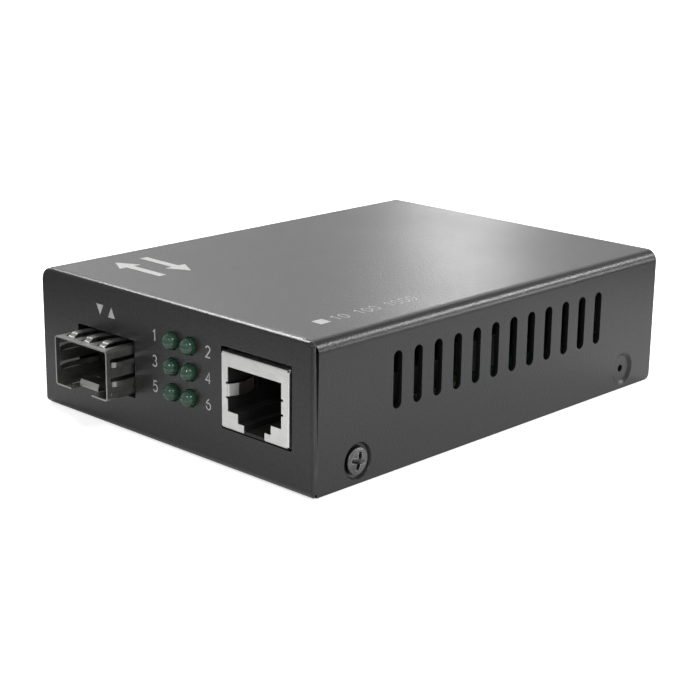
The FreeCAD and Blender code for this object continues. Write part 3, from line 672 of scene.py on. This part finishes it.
def ribbons(strokes: Sequence[Stroke], width: float) -> tuple[list[Point2], list[Face]]:
    """Flat strips of constant width along strokes.

    Args:
        strokes: The middle lines.
        width: Width of the strips.

    Returns:
        Flat points and the faces between them.
    """
    points: list[Point2] = []
    faces: list[Face] = []
    for stroke in strokes:
        first = len(points)
        for i, point in enumerate(stroke):
            before = Vector(stroke[max(i - 1, 0)])
            after = Vector(stroke[min(i + 1, len(stroke) - 1)])
            here = Vector(point)
            ahead = (after - here).normalized() if i + 1 < len(stroke) else (here - before).normalized()
            back = (here - before).normalized() if i > 0 else ahead
            share = max(1.0 + back.dot(ahead), 0.35)
            side = Vector((-back.y - ahead.y, back.x + ahead.x)) * (width / 2.0 / share)
            points += [tuple(here + side), tuple(here - side)]
        for i in range(len(stroke) - 1):
            start = first + 2 * i
            faces.append((start, start + 1, start + 3, start + 2))
    return points, faces


def new_mesh(name: str, points: Iterable[Sequence[float]], faces: Sequence[Face],
             smooth: Sequence[bool] = ()) -> bpy.types.Mesh:
    """Make a mesh.

    Args:
        name: The mesh's name.
        points: Its points.
        faces: Its faces.
        smooth: Whether each face is shaded smooth. Without it all are flat.

    Returns:
        The mesh.
    """
    mesh = bpy.data.meshes.new(name)
    mesh.from_pydata([tuple(point) for point in points], [], faces)
    if smooth:
        mesh.polygons.foreach_set("use_smooth", smooth)
    mesh.update()
    return mesh


def raised_mesh(name: str, points: Sequence[Point2], faces: Sequence[Face],
                origin: Vector, across: Vector, upward: Vector, height: float) -> bpy.types.Mesh:
    """Thin closed film of ink on a flat surface.

    Args:
        name: The mesh's name.
        points: Outline points in the surface, in metres.
        faces: Faces between the points.
        origin: Where (0, 0) lies.
        across: Direction of the points' first value.
        upward: Direction of the points' second value.
        height: Thickness of the film.

    Returns:
        The mesh.
    """
    lift = across.cross(upward).normalized() * height
    flat = [origin + across * u + upward * v for u, v in points]
    count = len(flat)
    closed: list[Face] = []
    for face in faces:
        closed += [tuple(i + count for i in face), tuple(reversed(face))]
    edges = dict.fromkeys((a, b) for face in faces for a, b in zip(face, face[1:] + face[:1]))
    closed += [(a, b, b + count, a + count) for a, b in edges if (b, a) not in edges]
    return new_mesh(name, flat + [point + lift for point in flat], closed)


def turned_mesh(name: str, profile: Sequence[Point2], centre: Vector, axis: Vector,
                steps: int) -> bpy.types.Mesh:
    """Closed surface of revolution.

    Args:
        name: The mesh's name.
        profile: (distance along the axis, radius) points from one end of the axis to the other.
        centre: Where distance 0 lies.
        axis: Direction of the axis.
        steps: Number of facets round it.

    Returns:
        The mesh, shaded smooth.
    """
    turn = axis.normalized().to_track_quat("Z", "Y").to_matrix()
    inner = list(profile[1:-1])
    points = [Vector((0, 0, profile[0][0])), Vector((0, 0, profile[-1][0]))]
    for along, radius in inner:
        for i in range(steps):
            angle = 2.0 * math.pi * i / steps
            points.append(Vector((radius * math.cos(angle), radius * math.sin(angle), along)))
    faces: list[Face] = []
    for i in range(steps):
        after = (i + 1) % steps
        faces.append((0, 2 + after, 2 + i))
        for row in range(len(inner) - 1):
            low = 2 + row * steps
            faces.append((low + i, low + after, low + steps + after, low + steps + i))
        last = 2 + (len(inner) - 1) * steps
        faces.append((1, last + i, last + after))
    return new_mesh(name, [centre + turn @ point for point in points], faces, [True] * len(faces))


def lofted_mesh(name: str, rings: Sequence[Sequence[Point3]]) -> bpy.types.Mesh:
    """Closed strip through rings that have equal numbers of points.

    Args:
        name: The mesh's name.
        rings: The cross-sections in order.

    Returns:
        The mesh, smooth along its length and flat at its two ends.
    """
    count = len(rings[0])
    last = (len(rings) - 1) * count
    faces: list[Face] = [tuple(range(count)), tuple(reversed(range(last, last + count)))]
    for start in range(0, last, count):
        for i in range(count):
            after = (i + 1) % count
            faces.append((start + i, start + count + i, start + count + after, start + after))
    mesh = new_mesh(name, [point for ring in rings for point in ring], faces,
                    [len(face) == 4 for face in faces])
    shell = bmesh.new()
    shell.from_mesh(mesh)
    bmesh.ops.recalc_face_normals(shell, faces=shell.faces)
    shell.to_mesh(mesh)
    shell.free()
    return mesh


def join_meshes(name: str, meshes: Sequence[bpy.types.Mesh]) -> bpy.types.Mesh:
    """Gather several meshes into one.

    Args:
        name: The new mesh's name.
        meshes: The meshes, which are removed.

    Returns:
        The joined mesh.
    """
    points: list[tuple[float, ...]] = []
    faces: list[Face] = []
    smooth: list[bool] = []
    for mesh in meshes:
        first = len(points)
        points += [tuple(v.co) for v in mesh.vertices]
        faces += [tuple(first + i for i in p.vertices) for p in mesh.polygons]
        smooth += [p.use_smooth for p in mesh.polygons]
        bpy.data.meshes.remove(mesh)
    return new_mesh(name, points, faces, smooth)


# ------------------------ sub-assemblies

@dataclass
class Case:
    """Tray, cover, cover screws and the coat that bridges the joints between them."""

    coat: PowderCoat = PowderCoat(
        "charcoal_powder_coat", (0.005, 0.005, 0.0053), (0.011, 0.011, 0.0115), roughness=0.315,
        grain_size=0.34 * MM, grain_depth=0.045 * MM)
    screw_steel: PlatedSheet = PlatedSheet(
        "blackened_screw_steel", (0.07, 0.07, 0.07), (0.16, 0.16, 0.16), 0.40, Grain.ALONG_Z, wear=1.0)
    bead_left: float = 2.5 * MM      # how far the top bead stays from the cover's left and right sides
    bead_right: float = 0.5 * MM
    bend_run: float = 2.4 * MM       # how far from its right side the cover starts to bend
    taper: float = 0.5 * MM
    bend_tall: float = 0.5           # the bead's height and width beside the bend, as shares
    bend_wide: float = 0.6
    top_bead: tuple[Point2, ...] = (          # back from the panel's face, and over the cover's top
        (0.05, -0.20), (0.13, -0.12), (0.22, -0.055), (0.34, 0.003), (0.46, 0.058), (0.58, 0.105),
        (0.70, 0.135), (0.85, 0.148), (1.02, 0.135), (1.22, 0.09), (1.45, 0.03), (1.55, -0.005),
        (0.60, -0.25))
    side_bead: tuple[Point2, ...] = (         # back from the panel's face, and out of the case's side
        (0.40, -0.02), (0.60, 0.004), (1.0, 0.004), (1.30, 0.004), (1.42, -0.02), (1.2, -0.4), (0.7, -0.4))
    side_recess: tuple[Point2, ...] = (       # height, and how deep the side bead lies there
        (0.8, 0.0), (8.0, 0.0), (12.0, 0.07), (16.0, 0.15), (20.0, 0.24), (24.0, 0.34))

    def top_joint(self) -> bpy.types.Mesh:
        """Coat that has gathered along the top of the front panel and bridges the joint behind it.

        Returns:
            A strip with a low crown. It tapers at both ends and narrows beside the cover's bend.
        """
        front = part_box("base_tray")[0].y
        low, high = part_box("top_cover")
        left, right = low.x + self.bead_left, high.x - self.bead_right
        bend = high.x - self.bend_run
        stations = [(left, 0.0, 1.0), (left + self.taper, 1.0, 1.0), (bend - self.taper, 1.0, 1.0),
                    (bend, self.bend_tall, self.bend_wide),
                    (right - self.taper, self.bend_tall, self.bend_wide), (right, 0.0, self.bend_wide)]
        rings = [[(x, front + y * wide * MM, high.z + (z * tall if z > 0.0 else z) * MM)
                  for y, z in self.top_bead] for x, tall, wide in stations]
        return lofted_mesh("top_joint_coat", rings)

    def side_joint(self, side: float) -> bpy.types.Mesh:
        """Coat that bridges the upright joint beside the front panel.

        Args:
            side: -1 for the left side of the case and 1 for the right.

        Returns:
            A strip that is flush at the foot and sinks into the joint towards the top.
        """
        low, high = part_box("base_tray")
        middle, half = (low.x + high.x) / 2, (high.x - low.x) / 2
        rings = [[(middle + side * (half + (out - recess) * MM), low.y + y * MM, low.z + z * MM)
                  for y, out in self.side_bead] for z, recess in self.side_recess]
        return lofted_mesh("side_joint_coat", rings)

    def dress(self, nodes: Nodes, groups: EffectGroups) -> None:
        """Give the case its finishes and fill its joints.

        Args:
            nodes: The frame's nodes.
            groups: The shared effects.
        """
        coat = self.coat.build(groups)
        dress(nodes, coat, "base_tray", "top_cover")
        dress(nodes, self.screw_steel.build(groups), "cover_screws")
        beads = [self.top_joint(), self.side_joint(-1.0), self.side_joint(1.0)]
        finish_piece("joint_coat", beads, coat)


@dataclass
class SfpBay:
    """Cage and host connector for a plug-in fibre module."""

    cage: PlatedSheet = PlatedSheet(
        "tinned_cage_sheet", (0.26, 0.26, 0.255), (0.35, 0.35, 0.34), 0.39, Grain.ALONG_Y)
    connector: Moulding = Moulding("connector_black", (0.012, 0.012, 0.012), (0.03, 0.03, 0.03), 0.42)
    contact: PlatedSheet = PlatedSheet(
        "contact_gold_sheet", (0.70, 0.48, 0.18), (0.92, 0.68, 0.30), 0.22, Grain.ALONG_Y)

    def dress(self, nodes: Nodes, groups: EffectGroups) -> None:
        """Give the bay its finishes.

        Args:
            nodes: The frame's nodes.
            groups: The shared effects.
        """
        dress(nodes, self.cage.build(groups), "sfp_cage")
        dress(nodes, self.connector.build(groups), "sfp_connector")
        dress(nodes, self.contact.build(groups), "sfp_contacts")


@dataclass
class NetworkPort:
    """Shielded RJ45 port."""

    shield: PlatedSheet = PlatedSheet(
        "satin_nickel_shield", (0.60, 0.60, 0.59), (0.73, 0.73, 0.72), 0.34, Grain.ALONG_X)
    insert: Moulding = Moulding("port_black", (0.004, 0.004, 0.004), (0.009, 0.009, 0.009), 0.58)
    wire: PlatedSheet = PlatedSheet(
        "contact_wire_gold", (0.66, 0.46, 0.18), (0.86, 0.64, 0.28), 0.24, Grain.ALONG_Y)

    def dress(self, nodes: Nodes, groups: EffectGroups) -> None:
        """Give the port its finishes.

        Args:
            nodes: The frame's nodes.
            groups: The shared effects.
        """
        dress(nodes, self.shield.build(groups), "rj45_shield")
        dress(nodes, self.insert.build(groups), "rj45_housing")
        dress(nodes, self.wire.build(groups), "rj45_contacts")


@dataclass
class StatusLamps:
    """Tinted lamps with the metal cup cast into each, their holder and their leads."""

    epoxy: TintedEpoxy = TintedEpoxy(
        "bottle_green_epoxy", (0.018, 0.062, 0.036), (0.026, 0.080, 0.048), 0.18, 0.04)
    cup: PlatedSheet = PlatedSheet(
        "lamp_cup_silver", (0.55, 0.56, 0.54), (0.80, 0.80, 0.78), 0.20, Grain.ALONG_Y)
    holder: Moulding = Moulding("lamp_block_black", (0.01, 0.01, 0.01), (0.025, 0.025, 0.025), 0.5)
    lead: PlatedSheet = PlatedSheet("tinned_lead", (0.5, 0.5, 0.5), (0.72, 0.72, 0.71), 0.3, Grain.ALONG_Z)
    cup_depth: float = 1.6 * MM      # from the lamp's tip to the cup's rim
    cup_facets: int = 20
    cup_profile: tuple[Point2, ...] = (
        (0.25, 0.0), (0.25, 0.18), (0.0, 0.46), (0.0, 0.56), (0.5, 0.56), (0.75, 0.30), (2.6, 0.22),
        (2.6, 0.0))

    def dress(self, nodes: Nodes, groups: EffectGroups) -> None:
        """Tint the lamps and cast a cup into each.

        Args:
            nodes: The frame's nodes.
            groups: The shared effects.
        """
        lamps = [f"led_{number}" for number in range(1, LAMP_COUNT + 1)]
        dress(nodes, self.epoxy.build(groups), *lamps)
        profile = [(along * MM, radius * MM) for along, radius in self.cup_profile]
        cups = []
        for lamp in lamps:
            low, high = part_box(lamp)
            centre = Vector(((low.x + high.x) / 2, low.y + self.cup_depth, (low.z + high.z) / 2))
            cups.append(turned_mesh("cup", profile, centre, REARWARD, self.cup_facets))
        finish_piece("lamp_cups", cups, self.cup.build(groups))
        dress(nodes, self.holder.build(groups), "led_holder")
        dress(nodes, self.lead.build(groups), "led_leads")


@dataclass
class PowerInlet:
    """Barrel inlet at the back."""

    moulding: Moulding = Moulding("inlet_black", (0.010, 0.010, 0.010), (0.024, 0.024, 0.024), 0.40)
    metal: PlatedSheet = PlatedSheet(
        "inlet_nickel", (0.60, 0.60, 0.58), (0.80, 0.80, 0.78), 0.18, Grain.ALONG_Y)

    def dress(self, nodes: Nodes, groups: EffectGroups) -> None:
        """Give the inlet its finishes.

        Args:
            nodes: The frame's nodes.
            groups: The shared effects.
        """
        dress(nodes, self.moulding.build(groups), "dc_jack_housing")
        dress(nodes, self.metal.build(groups), "dc_jack_pin", "dc_jack_leaf")


@dataclass
class CircuitBoard:
    """Board, its fixings and everything soldered to it."""

    board: BoardMask = BoardMask("solder_mask_green", (0.006, 0.070, 0.028), (0.030, 0.150, 0.060))
    zinc: PlatedSheet = PlatedSheet(
        "zinc_plated_steel", (0.50, 0.50, 0.47), (0.70, 0.70, 0.66), 0.32, Grain.ALONG_Z)
    tin: PlatedSheet = PlatedSheet(
        "component_tin", (0.52, 0.52, 0.51), (0.74, 0.74, 0.73), 0.30, Grain.ALONG_X)
    sleeve: Moulding = Moulding("capacitor_sleeve", (0.012, 0.016, 0.05), (0.02, 0.028, 0.08), 0.30)
    package: Moulding = Moulding("chip_package", (0.012, 0.012, 0.013), (0.032, 0.032, 0.034), 0.55)
    ferrite: Moulding = Moulding("ferrite_grey", (0.035, 0.035, 0.037), (0.075, 0.075, 0.078), 0.6)
    can: PlatedSheet = PlatedSheet(
        "crystal_can_steel", (0.60, 0.60, 0.58), (0.82, 0.82, 0.80), 0.2, Grain.ALONG_X)
    ceramic: Moulding = Moulding("chip_ceramic", (0.30, 0.20, 0.11), (0.46, 0.33, 0.20), 0.4)
    film: Moulding = Moulding("chip_film", (0.010, 0.010, 0.012), (0.03, 0.03, 0.034), 0.35)

    def dress(self, nodes: Nodes, groups: EffectGroups) -> None:
        """Give the board and its parts their finishes.

        Args:
            nodes: The frame's nodes.
            groups: The shared effects.
        """
        for finish, *names in (
                (self.board, "main_pcb"), (self.sleeve, "bulk_capacitors"), (self.ferrite, "power_inductor"),
                (self.can, "clock_crystal"), (self.ceramic, "chip_capacitors"), (self.film, "chip_resistors"),
                (self.zinc, "pcb_standoffs", "pcb_screws"),
                (self.package, "converter_chip", "power_chip", "regulator", "line_transformer"),
                (self.tin, "converter_chip_leads", "power_chip_leads", "line_transformer_leads",
                 "regulator_tab", "power_inductor_terminals")):
            dress(nodes, finish.build(groups), *names)


@dataclass
class SurfacePrint:
    """Plain numbers and simple marks in pale ink."""

    ink: ScreenPrint = ScreenPrint("pale_ink", (0.34, 0.34, 0.33), (0.48, 0.48, 0.47), 0.62)
    film: float = 0.01 * MM
    figure_width: float = 0.6        # width of a figure and step to the next one, as shares of its height
    figure_step: float = 0.8
    lamp_figure: float = 1.9 * MM
    lamp_stroke: float = 0.24 * MM
    lamp_gap: float = 4.6 * MM       # from a lamp's middle to its figure's
    bay_gap: float = 4.0 * MM        # from the cage's top to the middle of the triangles
    triangle_half: float = 0.95 * MM
    triangle_spread: float = 1.6 * MM
    arrow: tuple[Point2, ...] = ((-6.5, -0.8), (2.6, -0.8), (2.6, -2.4), (7.0, 0.0), (2.6, 2.4), (2.6, 0.8),
                                 (-6.5, 0.8))
    arrow_spread: float = 3.1        # from the middle of the pair to an arrow's shaft
    arrows_at: Point2 = (14.0 * MM, 13.5 * MM)     # from the cover's left side and its front edge
    square_at: Point2 = (8.2 * MM, 9.0 * MM)       # from the cover's right side and its front edge
    square_half: float = 1.15 * MM
    speeds: str = "10 100 1000"
    speeds_gap: float = 2.7 * MM
    speed_figure: float = 2.3 * MM
    speed_stroke: float = 0.20 * MM

    def numbers(self, text: str, start: Vector, across: Vector, upward: Vector, height: float,
                stroke: float) -> list[bpy.types.Mesh]:
        """A row of plain figures.

        Args:
            text: Figures and spaces.
            start: Lower left corner of the first figure.
            across: Reading direction.
            upward: Upward direction of the figures.
            height: Height of the figures.
            stroke: Width of their strokes.

        Returns:
            One mesh for each figure.
        """
        meshes = []
        for place, figure in enumerate(text):
            if figure == " ":
                continue
            strokes = [[(u * height, v * height) for u, v in line] for line in DIGITS[figure]]
            points, faces = ribbons(strokes, stroke)
            corner = start + across * (place * self.figure_step * height)
            meshes.append(raised_mesh("figure", points, faces, corner, across, upward, self.film))
        return meshes

    def front(self, material: bpy.types.Material) -> None:
        """Number the lamps and mark the fibre bay with two triangles.

        Args:
            material: The ink.
        """
        panel_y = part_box("base_tray")[0].y
        meshes = []
        for number in range(1, LAMP_COUNT + 1):
            low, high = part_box(f"led_{number}")
            gap = -self.lamp_gap if number % 2 else self.lamp_gap
            middle = Vector(((low.x + high.x) / 2 + gap, panel_y, (low.z + high.z) / 2))
            start = middle - (RIGHTWARD * self.figure_width + UPWARD) * (self.lamp_figure / 2)
            meshes += self.numbers(str(number), start, RIGHTWARD, UPWARD, self.lamp_figure, self.lamp_stroke)
        low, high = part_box("sfp_cage")
        middle = Vector(((low.x + high.x) / 2, panel_y, high.z + self.bay_gap))
        half = self.triangle_half
        for side, face in ((-1.0, (1, 0, 2)), (1.0, (0, 1, 2))):
            shift = side * self.triangle_spread
            triangle = [(shift - half, -side * half), (shift + half, -side * half), (shift, side * half)]
            meshes.append(raised_mesh("triangle", triangle, [face], middle, RIGHTWARD, UPWARD, self.film))
        finish_piece("front_marks", meshes, material)

    def top(self, material: bpy.types.Material) -> None:
        """Two opposed arrows near the front, and a square with the port's speeds along the right side.

        Args:
            material: The ink.
        """
        low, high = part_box("top_cover")
        origin = Vector((low.x + self.arrows_at[0], low.y + self.arrows_at[1], high.z))
        meshes = []
        for side in (-1.0, 1.0):
            points = [(side * u * MM, side * (v + self.arrow_spread) * MM) for u, v in self.arrow]
            meshes.append(raised_mesh("arrow", points, [(0, 1, 5, 6), (2, 3, 4)], origin, RIGHTWARD, REARWARD,
                                      self.film))
        corner = Vector((high.x - self.square_at[0], low.y + self.square_at[1], high.z))
        half = self.square_half
        square = [(-half, -half), (half, -half), (half, half), (-half, half)]
        meshes.append(raised_mesh("square", square, [(0, 1, 2, 3)], corner, RIGHTWARD, REARWARD, self.film))
        start = corner + REARWARD * self.speeds_gap + RIGHTWARD * (self.speed_figure / 2)
        meshes += self.numbers(self.speeds, start, REARWARD, -RIGHTWARD, self.speed_figure, self.speed_stroke)
        finish_piece("top_marks", meshes, material)

    def build(self, groups: EffectGroups) -> None:
        """Print the front panel and the cover.

        Args:
            groups: The shared effects.
        """
        ink = self.ink.build(groups)
        self.front(ink)
        self.top(ink)


# ------------------------ studio

def heading(azimuth: float, elevation: float) -> Vector:
    """Direction in the row frame.

    Args:
        azimuth: Degrees from +Y towards -X.
        elevation: Degrees above the floor.

    Returns:
        The unit vector.
    """
    turn, rise = math.radians(azimuth), math.radians(elevation)
    return Vector((-math.sin(turn) * math.cos(rise), math.cos(turn) * math.cos(rise), math.sin(rise)))


def ray_masks(wiring: Wiring) -> tuple[bpy.types.NodeSocket, bpy.types.NodeSocket]:
    """Masks of the rays that the studio answers in their own way.

    Args:
        wiring: The floor's or the world's wiring.

    Returns:
        The mask of rays from the camera, straight or through clear parts, and that of reflected rays.
    """
    path = wiring.add("ShaderNodeLightPath").outputs
    return wiring.maths("MAXIMUM", path["Is Camera Ray"], path["Is Transmission Ray"]), path["Is Glossy Ray"]


@dataclass(frozen=True)
class SoftLamp:
    """Soft rectangular lamp, placed by its direction from the object."""

    name: str
    azimuth: float
    elevation: float
    distance: float
    width: float
    height: float
    brightness: float

    def hang(self, target: Vector) -> None:
        """Hang the lamp so that it faces the object.

        Args:
            target: Middle of the object.
        """
        away = heading(self.azimuth, self.elevation)
        data = bpy.data.lights.new(self.name, "AREA")
        data.shape = "RECTANGLE"
        data.size = self.width
        data.size_y = self.height
        data.energy = self.brightness * math.pi * self.width * self.height
        light = placed(self.name, data)
        light.location = target + away * self.distance
        light.rotation_mode = "QUATERNION"
        light.rotation_quaternion = (-away).to_track_quat("-Z", "Y")


@dataclass
class Studio:
    """Pale floor, soft lamps and the camera."""

    azimuth: float = 43.61
    elevation: float = 16.40
    roll: float = 0.80
    distance: float = 0.316
    lens: float = 85.6
    sensor: float = 36.0
    clip_start: float = 0.01
    aim_shift: Vector = field(default_factory=lambda: Vector((0.0, 0.001, -0.0046)))
    floor_half: float = 6.0
    paper: Colour = (0.86, 0.86, 0.86)
    floor_white: float = 0.62
    floor_run: Point2 = (-0.07, 0.02)        # x + y between which the mirrored floor brightens
    floor_mirrored: Point2 = (0.08, 0.37)
    pool_centre: Point2 = (0.018, 0.012)     # pool of light under the object, for reflections
    pool_radii: Point2 = (0.108, 0.150)
    pool_edge: float = 0.2
    sky_lamp: float = 0.45
    sky_heights: Point2 = (0.45, 0.8)        # sines of the elevations between which the sky darkens
    sky_mirrored: Point2 = (0.76, 0.4)
    lamps: tuple[SoftLamp, ...] = (
        SoftLamp("back_strip", 38.4, 13.5, 0.9, 0.050, 0.29, 4.8),
        SoftLamp("left_high", 67.0, 43.5, 0.8, 0.34, 0.18, 22.0),
        SoftLamp("back_high", 28.0, 35.0, 0.9, 0.22, 0.22, 1.8),
        SoftLamp("right_back", -33.0, 32.0, 0.8, 0.12, 0.10, 50.0),
        SoftLamp("right_low", -43.0, 8.0, 0.8, 0.20, 0.045, 26.0),
        SoftLamp("front_key", 198.0, 36.0, 0.8, 0.11, 0.11, 34.0),
        SoftLamp("right_key", -108.0, 40.0, 0.8, 0.11, 0.11, 30.0),
    )

    def camera(self, middle: Vector) -> None:
        """Stand the camera at its angle and aim it near the object's middle.

        Args:
            middle: Middle of the object's box.
        """
        back = -heading(self.azimuth, -self.elevation)
        data = bpy.data.cameras.new("camera")
        data.lens = self.lens
        data.sensor_width = self.sensor
        data.clip_start = self.clip_start
        camera = placed("camera", data)
        facing = (-back).to_track_quat("-Z", "Y").to_matrix()
        rolled = facing @ Matrix.Rotation(math.radians(self.roll), 3, "Z")
        stand = Matrix.Translation(middle + self.aim_shift + back * self.distance)
        camera.matrix_world = stand @ rolled.to_4x4()
        bpy.context.scene.camera = camera

    def floor_material(self) -> bpy.types.Material:
        """White paper that reflections see as a pool of light under the object, with dark round it.

        Returns:
            The material.
        """
        material = bpy.data.materials.new("pale_floor")
        wiring = emptied(material)
        seen, glossy = ray_masks(wiring)
        spot = wiring.add("ShaderNodeSeparateXYZ", Vector=wiring.place()).outputs
        squares = []
        for axis, middle in zip("XY", self.pool_centre):
            aside = wiring.maths("ABSOLUTE", wiring.maths("SUBTRACT", spot[axis], middle))
            squares.append(wiring.maths("POWER", aside, 2.0))
        reach = wiring.maths("SQRT", wiring.maths("ADD", *squares))
        pool = wiring.remap(reach, *self.pool_radii, 1.0, self.pool_edge)
        run = wiring.remap(wiring.maths("ADD", spot["X"], spot["Y"]), *self.floor_run, *self.floor_mirrored)
        strength = wiring.maths("ADD", wiring.maths("MULTIPLY", seen, self.floor_white),
                                wiring.maths("MULTIPLY", glossy, wiring.maths("MULTIPLY", run, pool)))
        dimmed = wiring.maths("MULTIPLY", glossy, wiring.maths("SUBTRACT", 1.0, pool))
        paper = wiring.add("ShaderNodeBsdfDiffuse", Color=wiring.blend(dimmed, self.paper, (0.0, 0.0, 0.0)))
        glow = wiring.add("ShaderNodeEmission", Color=WHITE, Strength=strength)
        both = wiring.join("ShaderNodeAddShader", paper, glow)
        wiring.add("ShaderNodeOutputMaterial", Surface=both.outputs[0])
        return material

    def floor(self) -> None:
        """Lay a wide pale floor that keeps the object's shadow."""
        half = self.floor_half
        mesh = new_mesh("floor", [(-half, -half, 0), (half, -half, 0), (half, half, 0), (-half, half, 0)],
                        [(0, 1, 2, 3)])
        mesh.materials.append(self.floor_material())
        placed("floor", mesh)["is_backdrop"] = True

    def world(self) -> None:
        """White surroundings for the camera, softer as a lamp and graded in reflections."""
        world = bpy.data.worlds.new("studio")
        bpy.context.scene.world = world
        wiring = emptied(world)
        seen, glossy = ray_masks(wiring)
        direction = wiring.add("ShaderNodeTexCoord").outputs["Generated"]
        height = wiring.add("ShaderNodeSeparateXYZ", Vector=direction).outputs["Z"]
        sky = wiring.remap(height, *self.sky_heights, *self.sky_mirrored)
        lamp, mirrored, plain = (wiring.add("ShaderNodeBackground", Color=WHITE, Strength=strength)
                                 for strength in (self.sky_lamp, sky, 1.0))
        around = wiring.join("ShaderNodeMixShader", lamp, mirrored, Fac=glossy)
        everything = wiring.join("ShaderNodeMixShader", around, plain, Fac=seen)
        wiring.add("ShaderNodeOutputWorld", Surface=everything.outputs[0])

    def build(self, low: Vector, high: Vector) -> None:
        """Set up the camera, the floor, the surroundings and the lamps.

        Args:
            low: Lowest corner of the object's box.
            high: Its highest corner.
        """
        middle = (low + high) / 2
        self.camera(middle)
        self.floor()
        self.world()
        for lamp in self.lamps:
            lamp.hang(middle)


def main() -> None:
    """Build the converter's looks piece by piece."""
    logging.basicConfig(level=logging.INFO, format="%(name)s: %(message)s")
    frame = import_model()
    cad_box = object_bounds()
    bpy.context.scene.view_settings.view_transform = "Standard"
    nodes = frame["nodes"]
    groups = EffectGroups()
    for assembly in (Case(), SfpBay(), NetworkPort(), StatusLamps(), PowerInlet(), CircuitBoard()):
        assembly.dress(nodes, groups)
        LOG.info("finished %s", type(assembly).__name__)
    SurfacePrint().build(groups)
    Studio().build(*cad_box)
    LOG.info("set up the studio")


if __name__ == "__main__":
    main()
